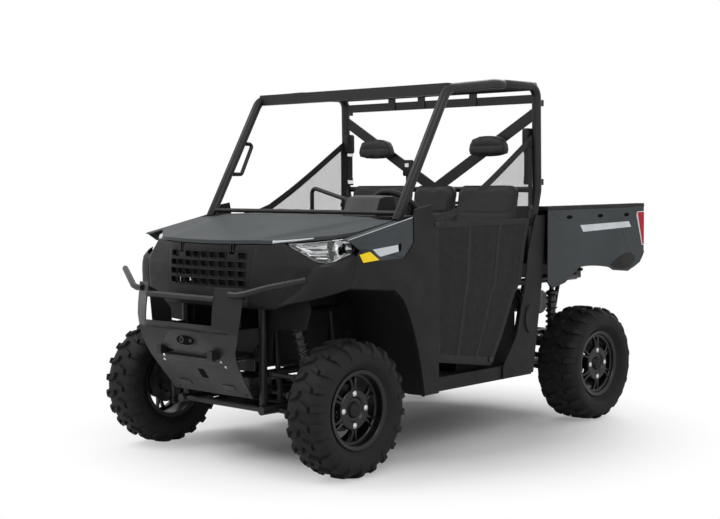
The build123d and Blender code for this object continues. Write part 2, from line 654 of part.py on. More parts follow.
LAMP_ANGLE = 42.0


def fascia_block(inset):
    """Closed sections of the nose, moved inwards by inset."""
    for z, row in FASCIA_ROWS.items():
        with BuildSketch(Plane.XY.offset(z)) as plan:
            half = [(max(x - inset, 0), y + (inset if i < 4 else 0)) for i, (x, y) in enumerate(row)]
            with BuildLine():
                ThreePointArc((-half[1][0], half[1][1]), half[0], half[1])
                Polyline(*half[1:], (half[-1][0], -900), (-half[-1][0], -900),
                         *[(-x, y) for x, y in reversed(half[1:])])
            make_face()
        yield plan.sketch


def lamp_plane(side, back):
    """Upright plane across the lamp corner, facing outwards, moved outwards by back."""
    normal = Vector(side * cos(radians(LAMP_ANGLE + 6)), -sin(radians(LAMP_ANGLE + 6)), 0)
    along = Vector(side * sin(radians(LAMP_ANGLE + 6)), cos(radians(LAMP_ANGLE + 6)), 0)
    origin = Vector(side * LAMP_CENTRE[0], LAMP_CENTRE[1], 0) + normal * back
    return Plane(origin=origin, x_dir=along, z_dir=normal)


def lamp_prism(side, depth, grow, mode):
    """Prism of the lamp outline through the corner of the fascia."""
    plane = lamp_plane(side, 90)
    flip = 1 if plane.y_dir.Z > 0 else -1
    with BuildSketch(plane) as shape:
        with BuildLine():
            Polyline(*[(x, flip * z) for x, z in LAMP_OUTLINE], close=True)
        make_face()
        if grow:
            offset(amount=grow, kind=Kind.INTERSECTION)
    extrude(shape.sketch, amount=-depth, mode=mode)


def under_hood():
    """Keep only what lies below the closed hood, clear of its rim."""
    crowned_slab(-HOOD_RIM - MOVE_GAP, HOOD_CROWN + 420, Mode.INTERSECT)


with BuildPart() as nose_outer:
    loft(list(fascia_block(0)), ruled=True)
with BuildPart() as nose_inner:
    loft(list(fascia_block(FASCIA_WALL)), ruled=True)
with BuildPart() as nose_shell:
    add(nose_outer.part)
    add(nose_inner.part, mode=Mode.SUBTRACT)
    block(-760, 760, -1000, -880, FASCIA_LOW_Z - 5, FASCIA_HIGH_Z + 5, mode=Mode.SUBTRACT)
    block(-760, 760, ARCH[1][0] - 16, -900, FASCIA_LOW_Z - 5, ARCH[1][1] + FLARE_WALL + 12,
          mode=Mode.SUBTRACT)
    for s in SIDES:
        slab(Plane.XZ.offset(900), [(s * x, z) for x, z in FASCIA_LIP], 600, mode=Mode.SUBTRACT)
    under_hood()

with BuildPart() as front_fascia:
    add(nose_shell.part)
    with BuildSketch(Plane.XZ.offset(1240)) as mouth:
        with BuildLine():
            Polyline(*GRILLE_OUTLINE, close=True)
        make_face()
        offset(amount=0.5, kind=Kind.INTERSECTION)
    extrude(mouth.sketch, amount=150, mode=Mode.SUBTRACT)
    for s in SIDES:
        lamp_prism(s, 250, 0.5, Mode.SUBTRACT)
    # tabs to the front tower
    for s in SIDES:
        block(s * TOWER_X - 14, s * TOWER_X + 14, -1328, TOWER_Y - TOWER_R - FIT, 864, 874)
save(front_fascia, "front_fascia")

GRILLE_ROWS = (-66, -22, 22, 66)       # hole rows about the middle of the grille
GRILLE_COLS = (-248, -186, -124, -62, 0, 62, 124, 186, 248)
GRILLE_MID_Z = 982.0
with BuildPart() as grille:
    add(nose_shell.part)
    with BuildSketch(Plane.XZ.offset(1240)) as mouth:
        with BuildLine():
            Polyline(*GRILLE_OUTLINE, close=True)
        make_face()
    extrude(mouth.sketch, amount=150, mode=Mode.INTERSECT)
    # the top row leaves out the two holes where the hood hinge sits
    with BuildSketch(Plane.XZ.offset(1240)) as holes:
        with Locations(*[(x, GRILLE_MID_Z + z) for x in GRILLE_COLS for z in GRILLE_ROWS
                         if z < max(GRILLE_ROWS) or abs(x) != HOOD_LUG_X]):
            RectangleRounded(48, 29, 8)
    extrude(holes.sketch, amount=150, mode=Mode.SUBTRACT)
    # notches and pins of the hood hinge
    y, z = HOOD_PIVOT
    for s in SIDES:
        x0, x1 = s * HOOD_LUG_X - HOOD_LUG / 2 - 4, s * HOOD_LUG_X + HOOD_LUG / 2 + 4
        block(x0, x1, y - 30, y + 30, z - 12, z + 40, mode=Mode.SUBTRACT)
        disc(x0 - 5, x1 + 5, y, z, HOOD_PIVOT_R)
save(grille, "grille")

with BuildPart() as headlights:
    for s in SIDES:
        lamp_prism(s, 90 + LAMP_DEPTH, 0, Mode.ADD)
    add(nose_outer.part, mode=Mode.INTERSECT)
    under_hood()
save(headlights, "headlights")

RADIATOR = (236.0, 46.0, 530.0, 1036.0)    # half width, depth, low and high edge
with BuildPart() as radiator:
    front = TOWER_Y + TIE_R + FIT
    block(-RADIATOR[0], RADIATOR[0], front, front + RADIATOR[1], RADIATOR[2], RADIATOR[3])
save(radiator, "radiator")

# ---------------------------------------------------------------- front bumper
# side profile (y, z) of the bent plate, from its top edge down to the leg ends
BUMPER_PROFILE = [(-1498, 905), (FRONT_END_Y, 760), (BUMPER_SEAT_Y, 560), (-1312, 363)]
# front outline (x, z) of the left half
BUMPER_OUTLINE = [(246, 905), (392, 905), (392, 648), (306, 362), (214, 362), (170, 452), (0, 452)]
BUMPER_BAR = (252.0, -1492.0, 853.0)
WING_R = 16.0
with BuildPart() as front_bumper:
    band(Plane.YZ.offset(-395), BUMPER_PROFILE, -BUMPER_WALL, 790)
    with BuildSketch(Plane.XZ.offset(1250)) as front:
        with BuildLine():
            left = [(x, z) for x, z in BUMPER_OUTLINE[:-1]]
            Polyline((246, 726), *left, (-170, 452), *[(-x, z) for x, z in reversed(left[:-1])],
                     (-246, 726), close=True)
        make_face()
    extrude(front.sketch, amount=300, mode=Mode.INTERSECT)
    x, y, z = BUMPER_BAR
    bar((-x, y, z), (x, y, z), 14)
    for s in SIDES:
        tube([(s * 330, -1498, 872), (s * 420, -1480, 872), (s * 694, -1322, 952)], WING_R, 60)
        # slots in the legs
        slab(Plane.XZ.offset(1250), [(s * 250, 378), (s * 268, 378), (s * 286, 440), (s * 268, 440)],
             300, mode=Mode.SUBTRACT)
    # oval hole of the centre plate
    with BuildSketch(Plane.XZ.offset(1250)) as oval:
        with Locations((0, 664)):
            SlotOverall(100, 46)
        with Locations((0, 520)):
            SlotOverall(200, 30)
    extrude(oval.sketch, amount=300, mode=Mode.SUBTRACT)
save(front_bumper, "front_bumper")

# ---------------------------------------------------------------- fenders
PANEL_X = 747.0
PANEL_WALL = 6.0
SEAM = 0.5
# painted panel outline (y, z)
FENDER_PANEL = [(-1118, 1128), (-655, 1223), (-655, 1096), (-723, 1026), (-1036, 1077)]
FLARE_REAR = [(-467, 336), (-466, 1004), (-518, 1280), (-640, 1262)]
LINER_X = 400.0

with BuildPart() as fender_panels:
    slab(Plane.YZ.offset(PANEL_X - PANEL_WALL), FENDER_PANEL, PANEL_WALL)
    # top flange towards the hood, short of the cage foot
    (y0, z0), (y1, z1) = FENDER_PANEL[0], FENDER_PANEL[1]
    y2 = HOOD_REAR_Y
    z2 = z0 + (z1 - z0) * (y2 - y0) / (y1 - y0)
    slab(Plane.YZ.offset(HOOD_HALF + MOVE_GAP + 4),
         [(y0, z0), (y2, z2), (y2, z2 - PANEL_WALL), (y0, z0 - PANEL_WALL)],
         PANEL_X - HOOD_HALF - MOVE_GAP - 4)
    both_sides()
save(fender_panels, "fender_panels")

FLARE_FRONT = [(-1118, 1098), (-1150, 1018)]    # front edge, above the start of the arch
with BuildPart() as fender_flares:
    skin = ARCH + FLARE_REAR + [(-655 + SEAM, 1223), (-655 + SEAM, 1096), (-723, 1026 - SEAM),
                                (-1036, 1077 - SEAM)] + FLARE_FRONT
    slab(Plane.YZ.offset(FLARE_X - FLARE_WALL), skin, FLARE_WALL)
    # front return towards the nose, and the wheel-well liner
    band(Plane.YZ.offset(FLARE_X - 20), FLARE_FRONT + ARCH[:1], FLARE_WALL, 20)
    band(Plane.YZ.offset(LINER_X), ARCH[1:], FLARE_WALL, FLARE_X - LINER_X)
    # tab to the cab leg
    block(SILL_X - 14, SILL_X + 14, -588, CAB_LEG_Y - CAB_LEG_R - FIT, 420, 440)
    both_sides()
save(fender_flares, "fender_flares")

# ---------------------------------------------------------------- cab: floor, firewall, dash, sides
CAB_X = 610.0
COWL_UNDER_Z = 1190.0          # underside of the cowl, seated on the firewall
FIREWALL = [(-552, FLOOR_Z), (-586, 500), (-636, 680), (-700, 840), (-700, COWL_UNDER_Z - FIT)]
FIREWALL_WALL = 6.0
SEAT_BASE_Y = (-150.0, 372.0)
SEAT_BASE_Z = 700.0
with BuildPart() as floor_tub:
    slab(Plane.XY.offset(FLOOR_Z), [(-CAB_X, -556), (CAB_X, -556), (CAB_X, -400), (SILL_X + 20, -400),
                                    (SILL_X + 20, 380), (-SILL_X - 20, 380), (-SILL_X - 20, -400),
                                    (-CAB_X, -400)], FLOOR_WALL)
    band(Plane.YZ.offset(-CAB_X), FIREWALL, -FIREWALL_WALL, 2 * CAB_X)
save(floor_tub, "floor_tub")

DASH_PROFILE = [(HOOD_REAR_Y + MOVE_GAP, 1222), (-450, 1222), (-410, 1180), (-430, 1000), (-470, 985),
                (-500, 1100), (-640, COWL_UNDER_Z), (HOOD_REAR_Y + MOVE_GAP, COWL_UNDER_Z)]
BINNACLE = (370.0, 115.0)      # centre and half width
with BuildPart() as dash:
    slab(Plane.YZ.offset(-CAB_X), DASH_PROFILE, 2 * CAB_X)
    slab(Plane.YZ.offset(BINNACLE[0] - BINNACLE[1]),
         [(-640, 1210), (-600, 1312), (-500, 1320), (-470, 1210)], 2 * BINNACLE[1], corner=8)
save(dash, "dash")

with BuildPart() as rocker_panels:
    sill_under = SILL_Z - SILL_R - FIT
    band(Plane.XZ.offset(440), [(706, 405), (706, sill_under), (SILL_X, sill_under)], -6, -820)
    both_sides()
save(rocker_panels, "rocker_panels")

QUARTER_X = 722.0
QUARTER = [(497, 1204), (451, 736), (413, 518), (385, 344), (110, 336), (110, 405), (232, 560),
           (300, 780), (336, 1000), (405, 1204)]
FUEL_CAP = (340.0, 640.0, 56.0, 95.0)      # y, z, half width, half height
with BuildPart() as cab_side_panels:
    slab(Plane.YZ.offset(QUARTER_X - PANEL_WALL), QUARTER, PANEL_WALL)
    # return flange along the rear edge
    band(Plane.YZ.offset(656), [QUARTER[0], (QUARTER[1][0] + 6, QUARTER[1][1] + 60)], 4, QUARTER_X - 656)
    # fuel filler, a raised oval
    with BuildSketch(Plane.YZ.offset(QUARTER_X - 2)) as filler:
        with Locations((FUEL_CAP[0] + 10, FUEL_CAP[1])):
            Ellipse(FUEL_CAP[2] - 10, FUEL_CAP[3] - 20)
    extrude(filler.sketch, amount=10)
    both_sides()
save(cab_side_panels, "cab_side_panels")

# ---------------------------------------------------------------- seats
SEAT_ROWS = [(212.0, 640.0), (-606.0, -125.0), (-115.0, 202.0)]    # left and right edge of each
SQUAB_Z = (SEAT_BASE_Z + FIT, 815.0)
BACK_FOOT = (236.0, SEAT_BASE_Z + FIT)     # front lower edge of the backrest (y, z)
BACK_TOP = (339.0, 1372.0)
BACK_DEPTH = 78.0
with BuildPart() as seat_base:
    block(-CAB_X + 4, CAB_X - 4, SEAT_BASE_Y[0], SEAT_BASE_Y[1], FLOOR_Z + FLOOR_WALL + FIT,
          SEAT_BASE_Z)
    block(-CAB_X + 12, CAB_X - 12, SEAT_BASE_Y[0] + 8, SEAT_BASE_Y[1] - 8, FLOOR_Z, SEAT_BASE_Z - 8,
          mode=Mode.SUBTRACT)
save(seat_base, "seat_base")

with BuildPart() as seat_cushions:
    for x0, x1 in SEAT_ROWS:
        block(x0, x1, SEAT_BASE_Y[0] + 5, SEAT_BASE_Y[1] - 150, SQUAB_Z[0], SQUAB_Z[1])
    fillet(seat_cushions.edges(), 22)
save(seat_cushions, "seat_cushions")

with BuildPart() as seat_backs:
    for x0, x1 in SEAT_ROWS:
        slab(Plane.YZ.offset(x0), [BACK_FOOT, BACK_TOP, (BACK_TOP[0] + BACK_DEPTH * 0.9, BACK_TOP[1]),
                                   (BACK_FOOT[0] + BACK_DEPTH, BACK_FOOT[1])], x1 - x0)
    fillet(seat_backs.edges(), 20)
save(seat_backs, "seat_backs")

# ---------------------------------------------------------------- roll cage
ROOF_X = 716.0
BEND_Y, BEND_Z = -325.0, 1862.0
BACK_Y = 418.0
BRACE_Y = BACK_Y - 4.0
BACK_BAR_Z = 1345.0
BACK_STRIP = (ROOF_Z - 90.0, ROOF_Z - 43.0)     # low and high edge of the flat bar at the rear
BRACE_TOP = (ROOF_Z - 180.0, ROOF_Z - 110.0)    # low and high corner of a brace at the pillar
with BuildPart() as cage_whole:
    for s in SIDES:
        tube([(s * COWL_X, COWL_Y - 18, COWL_Z - 30), (s * 694, BEND_Y, BEND_Z),
              (s * 712, 40, ROOF_Z - 2), (s * ROOF_X, BACK_Y, ROOF_Z), (s * ROOF_X, BELT_Y, 1340),
              (s * BELT_X, BELT_Y, BELT_Z - 20)], CAGE_R, [90, 500, 62, 150])
    block(-800, 800, -900, 0, 1000, COWL_Z + FIT, mode=Mode.SUBTRACT)
    block(-800, 800, 0, 600, 1000, BELT_Z + FIT, mode=Mode.SUBTRACT)
with BuildPart() as cage_front:
    add(cage_whole.part)
    block(-800, 800, CAGE_SPLIT_Y, 600, 1000, CAGE_TOP, mode=Mode.SUBTRACT)
    # front header and windscreen base tube
    block(-694, 694, BEND_Y + 3, BEND_Y + 41, BEND_Z - 28, BEND_Z + 30)
    bar((-COWL_X, COWL_Y + 14, COWL_Z + 28), (COWL_X, COWL_Y + 14, COWL_Z + 28), 11)
save(cage_front, "cage_front")

with BuildPart() as cage_rear:
    add(cage_whole.part)
    block(-800, 800, -900, CAGE_SPLIT_Y + FIT, 1000, CAGE_TOP, mode=Mode.SUBTRACT)
    bar((-ROOF_X, BACK_Y - 12, ROOF_Z), (ROOF_X, BACK_Y - 12, ROOF_Z), 22)
    block(-ROOF_X, ROOF_X, BACK_Y - 10, BACK_Y + 10, BACK_STRIP[0], BACK_STRIP[1])
    for x in (-322, -92, 290):
        block(x - 26, x + 26, BACK_Y - 16, BACK_Y - 8, BACK_STRIP[0], ROOF_Z)
    bar((-ROOF_X, BELT_Y + 10, BACK_BAR_Z), (ROOF_X, BELT_Y + 10, BACK_BAR_Z), 16)
    for s in SIDES:
        slab(Plane.XZ.offset(-BRACE_Y - 6),
             [(s * 706, BRACE_TOP[1]), (s * 706, BRACE_TOP[0]), (s * 30, BACK_BAR_Z - 15),
              (s * -22, BACK_BAR_Z - 15), (s * -22, BACK_BAR_Z + 27)], 8)
        # tabs behind the pillars
        for z in (BACK_BAR_Z + 24, ROOF_Z - 105):
            block(s * ROOF_X - 6, s * ROOF_X + 6, BACK_Y + 10, BACK_Y + 62, z, z + 34)
save(cage_rear, "cage_rear")

HEADREST = (422.0, 1588.0, 126.0, 54.0)    # centre x and z, half width and half height
with BuildPart() as headrests:
    for s in SIDES:
        block(s * HEADREST[0] - HEADREST[2], s * HEADREST[0] + HEADREST[2], BRACE_Y - 72,
              BRACE_Y - 2 - FIT, HEADREST[1] - HEADREST[3], HEADREST[1] + HEADREST[3])
    chamfer(headrests.edges().filter_by(Axis.Y), 38)
    fillet(headrests.edges(), 8)
save(headrests, "headrests")

# ---------------------------------------------------------------- nets, belts, handles
NET_X = 700.0
NET_WALL = 4.0
NET_REAR_Y = BELT_Y - CAGE_R - 2 * FIT     # rear edge, strapped to the pillar
NET = [(-431, 485), (27, 420), (120, 560), (232, 779), (296, 856), (336, 1060),
       (NET_REAR_Y, 1261), (NET_REAR_Y, 1600),
       (320, 1480), (140, 1400), (-8, 1364), (-180, 1300), (-318, 1239), (-440, 1225)]
with BuildPart() as side_nets:
    slab(Plane.YZ.offset(NET_X), NET, NET_WALL)
    both_sides()
save(side_nets, "side_nets")

with BuildPart() as seat_belts:
    for s in SIDES:
        x0, x1 = sorted((s * 652, s * (ROOF_X - CAGE_R - FIT)))
        block(x0, x1, 372, 432, 1560, 1680)
        x0, x1 = sorted((s * 664, s * 667))
        block(x0, x1, 378, 424, 1372, 1562)
    block(-212, -164, BRACE_Y - 30, BRACE_Y - 2 - FIT, 1374, 1520)
save(seat_belts, "seat_belts")

HANDLE_R = 11.0
with BuildPart() as grab_handles:
    # bar on the right-hand pillar
    lean = (BEND_Y - COWL_Y) / (BEND_Z - COWL_Z)
    reach = (CAGE_R + FIT) * (1 + lean ** 2) ** 0.5 + HANDLE_R * lean
    y_low = COWL_Y + lean * (1440 - COWL_Z) + reach
    y_high = COWL_Y + lean * (1612 - COWL_Z) + reach
    tube([(-690, y_low, 1440), (-690, y_low + 62, 1440), (-690, y_high + 50, 1612),
          (-690, y_high, 1612)], HANDLE_R, 16)
    # bar on the dash
    tube([(-140, -460, 1222 + FIT), (-140, -460, 1366), (120, -460, 1300), (120, -460, 1222 + FIT)],
         HANDLE_R, 28)
save(grab_handles, "grab_handles")

# ---------------------------------------------------------------- steering
TILT = Vector(0, cos(radians(STEER_TILT)), sin(radians(STEER_TILT)))
HUB_CENTRE = Vector(*STEER_CENTRE)
PEDALS = [(300.0, 90.0), (430.0, 56.0)]        # middle and width: brake, throttle
with BuildPart() as steering_wheel:
    wheel_plane = Plane(HUB_CENTRE, x_dir=(1, 0, 0), z_dir=TILT)
    with BuildSketch(Plane(HUB_CENTRE, x_dir=(1, 0, 0), z_dir=wheel_plane.y_dir * -1)) as grip:
        with Locations((STEER_WHEEL_R, 0)):
            Circle(STEER_GRIP_R)
    revolve(grip.sketch, axis=Axis(HUB_CENTRE, TILT))
    with BuildSketch(wheel_plane.offset(-12)) as spokes:
        Circle(46)
        with PolarLocations(0, 3, start_angle=30):
            with Locations((88, 0)):
                Rectangle(176, 30)
    extrude(spokes.sketch, amount=14)
    bar(HUB_CENTRE - TILT * 46, HUB_CENTRE, 24)
    with BuildSketch(wheel_plane.offset(-46)) as socket:
        Circle(12 + PIN_PLAY)
    extrude(socket.sketch, amount=30, mode=Mode.SUBTRACT)
save(steering_wheel, "steering_wheel")

with BuildPart() as driver_controls:
    # steering column into the dash, and two pedals on the firewall
    bar(HUB_CENTRE - TILT * 108, HUB_CENTRE - TILT * 52, 26)
    bar(HUB_CENTRE - TILT * 60, HUB_CENTRE - TILT * 20, 12)
    for x, width in PEDALS:
        block(x - width / 2, x + width / 2, -540, -528, 500, 590)
        bar((x, -534, 560), (x, -640, 640), 8)
    add(dash.part, mode=Mode.SUBTRACT)
    add(floor_tub.part, mode=Mode.SUBTRACT)
    block(200, 600, -760, -638, 480, 700, mode=Mode.SUBTRACT)
save(driver_controls, "driver_controls")

RACK_R = 9.0
RACK_GAP = 0.5                 # between the rack's ends and the steering arms
RACK_Z = TIE_EYE_Z + STEER_ARM_DEPTH / 2 + RACK_GAP + RACK_R
with BuildPart() as steering_rack:
    y = FRONT_AXLE_Y + STEER_ARM
    bar((-KINGPIN_X + 14, y, RACK_Z), (KINGPIN_X - 14, y, RACK_Z), RACK_R)
    for s in SIDES:
        bar((s * KINGPIN_X, y, RACK_Z - RACK_R), (s * KINGPIN_X, y, RACK_Z + RACK_R), 15)
save(steering_rack, "steering_rack")

# ---------------------------------------------------------------- cargo bed
GATE_BOTTOM_Z = BED_FLOOR_Z + 14.0
GATE_WALL = 26.0
GATE_HINGE = (BED_TAIL_Y - 10.0, BED_FLOOR_Z - 8.0)   # y, z of the tailgate hinge
GATE_PIN_R = 7.0
GATE_LOOP = (GATE_X - 105.0, GATE_X - 66.0)    # x span of a hinge loop
BED_SIDE = [(492, 1230), (491, 829), (539, 798), (657, 819), (756, 875), (807, 904), (963, 901),
            (1123, 884), (1156, 864), (1322, 849), (1458, 896), (BED_TAIL_Y, 954), (BED_TAIL_Y, 1230)]
TAIL_LAMP = [(1424, 1186), (1426, 1202), (BED_TAIL_Y, 1202), (BED_TAIL_Y, 1000), (1478, 1000)]

with BuildPart() as bed_box:
    inside = BED_INSIDE_X
    front, rear = BED_FRONT_Y + 36, BED_TAIL_Y - GATE_WALL - MOVE_GAP
    # floor, side walls and front wall of the load tub
    block(-inside - BED_WALL, inside + BED_WALL, front - BED_WALL, rear, BED_FLOOR_Z - BED_WALL,
          BED_RAIL_Z - 22)
    block(-inside, inside, front, rear + 1, BED_FLOOR_Z, BED_RAIL_Z, mode=Mode.SUBTRACT)
    # top rail all round but the tail
    block(-BED_SKIN_X, BED_SKIN_X, BED_FRONT_Y, BED_TAIL_Y, BED_RAIL_Z - 22, BED_RAIL_Z)
    block(-inside, inside, front, BED_TAIL_Y + 1, BED_RAIL_Z - 30, BED_RAIL_Z + 1, mode=Mode.SUBTRACT)
    # chassis rails of the bed with the hinge bores
    for s in SIDES:
        x0, x1 = sorted((s * (DECK_X - 40), s * (DECK_X - 16)))
        block(x0, x1, 560, BED_HINGE_Y + 24, DECK_Z + DECK_R + MOVE_GAP, BED_FLOOR_Z - BED_WALL)
        bar((s * (DECK_X - 50), BED_HINGE_Y, BED_HINGE_Z), (s * DECK_X, BED_HINGE_Y, BED_HINGE_Z),
            BED_HINGE_R + PIN_PLAY, mode=Mode.SUBTRACT)
    # ears and pins of the tailgate hinge
    y, z = GATE_HINGE
    for s in SIDES:
        ear0, ear1 = sorted((s * (GATE_LOOP[1] + 4), s * (GATE_LOOP[1] + 16)))
        block(ear0, ear1, rear - 40, y + 9, z - 9, z + 9)
        bar((s * GATE_LOOP[0], y, z), (s * (GATE_LOOP[1] + 8), y, z), GATE_PIN_R)
save(bed_box, "bed_box")

with BuildPart() as bed_side_panels:
    slab(Plane.YZ.offset(BED_SKIN_X - BED_WALL), [(y, min(z, BED_RAIL_Z - 22 - FIT)) for y, z in BED_SIDE],
         BED_WALL)
    slab(Plane.YZ.offset(BED_SKIN_X - BED_WALL - 1), [(y + (-FIT if y < BED_TAIL_Y else 1),
                                                       z + (FIT if z > 1100 else -FIT)) for y, z in TAIL_LAMP],
         BED_WALL + 2, mode=Mode.SUBTRACT)
    # lower flange that closes the gap to the load tub
    block(BED_INSIDE_X + BED_WALL + FIT, BED_SKIN_X, 620, 1440, 940, 946)
    both_sides()
save(bed_side_panels, "bed_side_panels")

with BuildPart() as tail_lights:
    slab(Plane.YZ.offset(BED_INSIDE_X + BED_WALL + FIT), TAIL_LAMP, BED_SKIN_X - BED_INSIDE_X - BED_WALL)
    both_sides()
save(tail_lights, "tail_lights")

with BuildPart() as tailgate:
    block(-GATE_X, GATE_X, BED_TAIL_Y - GATE_WALL, BED_TAIL_Y, GATE_BOTTOM_Z, BED_RAIL_Z - 30)
    block(-GATE_X + 40, GATE_X - 40, BED_TAIL_Y, REAR_END_Y, GATE_BOTTOM_Z + 60, BED_RAIL_Z - 80)
    y, z = GATE_HINGE
    for s in SIDES:
        x0, x1 = sorted((s * GATE_LOOP[0], s * GATE_LOOP[1]))
        disc(x0, x1, y, z, GATE_PIN_R + 6)
        block(x0, x1, y - 10, y + 10, z, GATE_BOTTOM_Z + 4)
        disc(x0 - 1, x1 + 1, y, z, GATE_PIN_R + PIN_PLAY, mode=Mode.SUBTRACT)
save(tailgate, "tailgate")
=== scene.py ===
"""Finish of a side by side utility vehicle: materials, tyres, soft parts, trim, floor, lights and camera.

Metres, with outlines and profiles in millimetres. +Z up, the vehicle faces -Y, +X is its own left side.
"""

import json
from math import cos, pi, radians, sin, sqrt

import bmesh
import bpy
from mathutils import Matrix, Vector
from mathutils.bvhtree import BVHTree


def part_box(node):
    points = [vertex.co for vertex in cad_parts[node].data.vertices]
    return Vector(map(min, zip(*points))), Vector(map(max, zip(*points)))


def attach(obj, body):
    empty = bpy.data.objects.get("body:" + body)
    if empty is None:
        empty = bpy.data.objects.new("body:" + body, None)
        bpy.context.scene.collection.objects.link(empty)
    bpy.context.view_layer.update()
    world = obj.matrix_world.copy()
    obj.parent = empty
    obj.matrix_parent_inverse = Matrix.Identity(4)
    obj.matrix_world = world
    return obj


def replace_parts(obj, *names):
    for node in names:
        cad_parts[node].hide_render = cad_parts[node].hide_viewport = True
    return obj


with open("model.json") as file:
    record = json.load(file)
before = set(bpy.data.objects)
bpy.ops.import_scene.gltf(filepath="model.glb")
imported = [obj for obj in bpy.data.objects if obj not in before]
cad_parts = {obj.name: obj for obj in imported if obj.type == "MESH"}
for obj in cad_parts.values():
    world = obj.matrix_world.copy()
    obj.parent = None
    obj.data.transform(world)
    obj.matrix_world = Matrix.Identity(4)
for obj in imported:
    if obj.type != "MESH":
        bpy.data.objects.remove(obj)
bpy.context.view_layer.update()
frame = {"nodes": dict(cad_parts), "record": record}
scene = bpy.context.scene
SIDES = (-1, 1)
NAMED_SIDES = ((1, "left"), (-1, "right"))
BODY = {node: body for body, nodes in frame["record"]["behaviour"]["bodies"].items() for node in nodes}
SLOT = {entry["node"]: entry["material_slot"] for entry in frame["record"]["subparts"]}
MM = 0.001


# ---------------------------------------------------------------- materials
class Nodes:
    """A node tree built up from small parts."""

    def __init__(self, tree):
        self.nodes, self.links = tree.nodes, tree.links

    def put(self, socket, value):
        """Set a socket to a number or link it to an output."""
        if isinstance(value, (int, float)):
            socket.default_value = value
        else:
            self.links.new(value, socket)

    def node(self, kind, inputs, **settings):
        made = self.nodes.new("ShaderNode" + kind)
        for key, value in settings.items():
            setattr(made, key, value)
        for key, value in inputs.items():
            self.put(made.inputs[key], value)
        return made

    def math(self, operation, a, b):
        return self.node("Math", {0: a, 1: b}, operation=operation).outputs[0]

    def spread(self, source, low, high, start=0.3, stop=0.7):
        """Map a pattern to a range of values."""
        ends = {"From Min": start, "From Max": stop, "To Min": low, "To Max": high}
        return self.node("MapRange", {"Value": source, **ends}).outputs["Result"]


class Surface(Nodes):
    """A material in object coordinates."""

    def __init__(self, name):
        self.mat = bpy.data.materials.new(name)
        self.mat.use_nodes = True
        super().__init__(self.mat.node_tree)
        self.bsdf = self.nodes["Principled BSDF"]
        self.where = self.node("TexCoord", {}).outputs["Object"]

    def noise(self, scale, detail=4.0):
        return self.node("TexNoise", {"Vector": self.where, "Scale": scale, "Detail": detail}).outputs["Fac"]

    def cells(self, scale, feature="F1"):
        return self.node("TexVoronoi", {"Vector": self.where, "Scale": scale}, feature=feature).outputs["Distance"]

    def axes(self):
        return self.node("SeparateXYZ", {0: self.where}).outputs

    def wave(self, axis, pitch):
        return self.math("SINE", self.math("MULTIPLY", axis, 2 * pi / pitch), 0.0)

    def colours(self, source, dark, light, start=0.3, stop=0.7):
        """Map a pattern to the base colour."""
        ramp = self.node("ValToRGB", {"Fac": source})
        for stop_point, place, colour in zip(ramp.color_ramp.elements, (start, stop), (dark, light)):
            stop_point.position = place
            stop_point.color = (*colour, 1.0)
        self.links.new(ramp.outputs["Color"], self.bsdf.inputs["Base Color"])

    def bump(self, height, strength, depth):
        made = self.node("Bump", {"Strength": strength, "Distance": depth, "Height": height})
        socket = self.bsdf.inputs["Normal"]
        if socket.links:
            self.links.new(socket.links[0].from_socket, made.inputs["Normal"])
        self.links.new(made.outputs["Normal"], socket)

    def feed(self, **values):
        """Feed the shader, with _ for the spaces in the sockets' names."""
        for key, value in values.items():
            self.put(self.bsdf.inputs[key.replace("_", " ")], value)


def tone(grey, tint=(1.0, 1.0, 1.0)):
    return tuple(grey * t for t in tint)


def plain_surface(name, dark, light, rough, metal=0.0, coat=0.0, patch=7.0, grain=(1400.0, 0.25, 0.0004), shine=0.5):
    """Patchy grey and roughness over a fine grain (scale, strength, depth): the base of most finishes here."""
    s = Surface(name)
    cloudy = s.noise(patch, 8.0)
    s.colours(cloudy, *(level if isinstance(level, tuple) else tone(level) for level in (dark, light)))
    s.feed(Roughness=s.spread(cloudy, rough[1], rough[0]), Metallic=metal, Coat_Weight=coat, Coat_Roughness=0.08,
           Specular_IOR_Level=shine)
    s.bump(s.noise(grain[0], 2.0), *grain[1:])
    return s.mat


COOL = (0.94, 1.0, 1.04)
FLOOR_CLEAR = (0.85, 1.85)     # the floor turns white between these distances from the middle
powder_coat = plain_surface("powder_coat", 0.0075, 0.013, (0.34, 0.46), grain=(900.0, 0.18, 0.0005), shine=0.3)
plastic = plain_surface("moulded_plastic", 0.0065, 0.0105, (0.46, 0.60), grain=(1500.0, 0.5, 0.0006), shine=0.2)
rim_gloss = plain_surface("gloss_black", 0.003, 0.006, (0.28, 0.38), metal=0.1, coat=0.12,
                          grain=(300.0, 0.03, 0.0004), shine=0.3)
# near-black that paints shade: it fills holes, slots and recesses, and darkens the radiator in the shade behind the
# grille
painted_shade_black = plain_surface("painted_shade_black", 0.002, 0.004, (0.7, 0.85), shine=0.05)
# lighter grey plastic: on the instrument hood it paints the sheen of light from above; the bumper cover takes the same
# grey
grey_and_sheen_plastic = plain_surface("grey_and_sheen_plastic", 0.030, 0.042, (0.45, 0.6), grain=(1500.0, 0.5, 0.0005), shine=0.3)
alloy = plain_surface("cast_alloy", 0.09, 0.15, (0.42, 0.6), metal=0.9, grain=(420.0, 0.5, 0.001))
dark_steel = plain_surface("dark_steel", 0.035, 0.06, (0.36, 0.5), metal=0.6, grain=(700.0, 0.2, 0.0004))
bright_steel = plain_surface("bright_steel", 0.62, 0.75, (0.16, 0.28), metal=1.0, grain=(600.0, 0.06, 0.0003))
exhaust_steel = plain_surface("exhaust_steel", (0.055, 0.05, 0.046), (0.1, 0.095, 0.09), (0.4, 0.6), metal=0.9,
                              patch=16.0, grain=(500.0, 0.3, 0.0006))
chrome = plain_surface("chrome", 0.62, 0.72, (0.08, 0.16), metal=1.0, patch=30.0, grain=(200.0, 0.03, 0.0003))
silver_film = plain_surface("silver_film", tone(0.56, COOL), tone(0.68, COOL), (0.28, 0.36), metal=0.3,
                            grain=(900.0, 0.04, 0.0002))


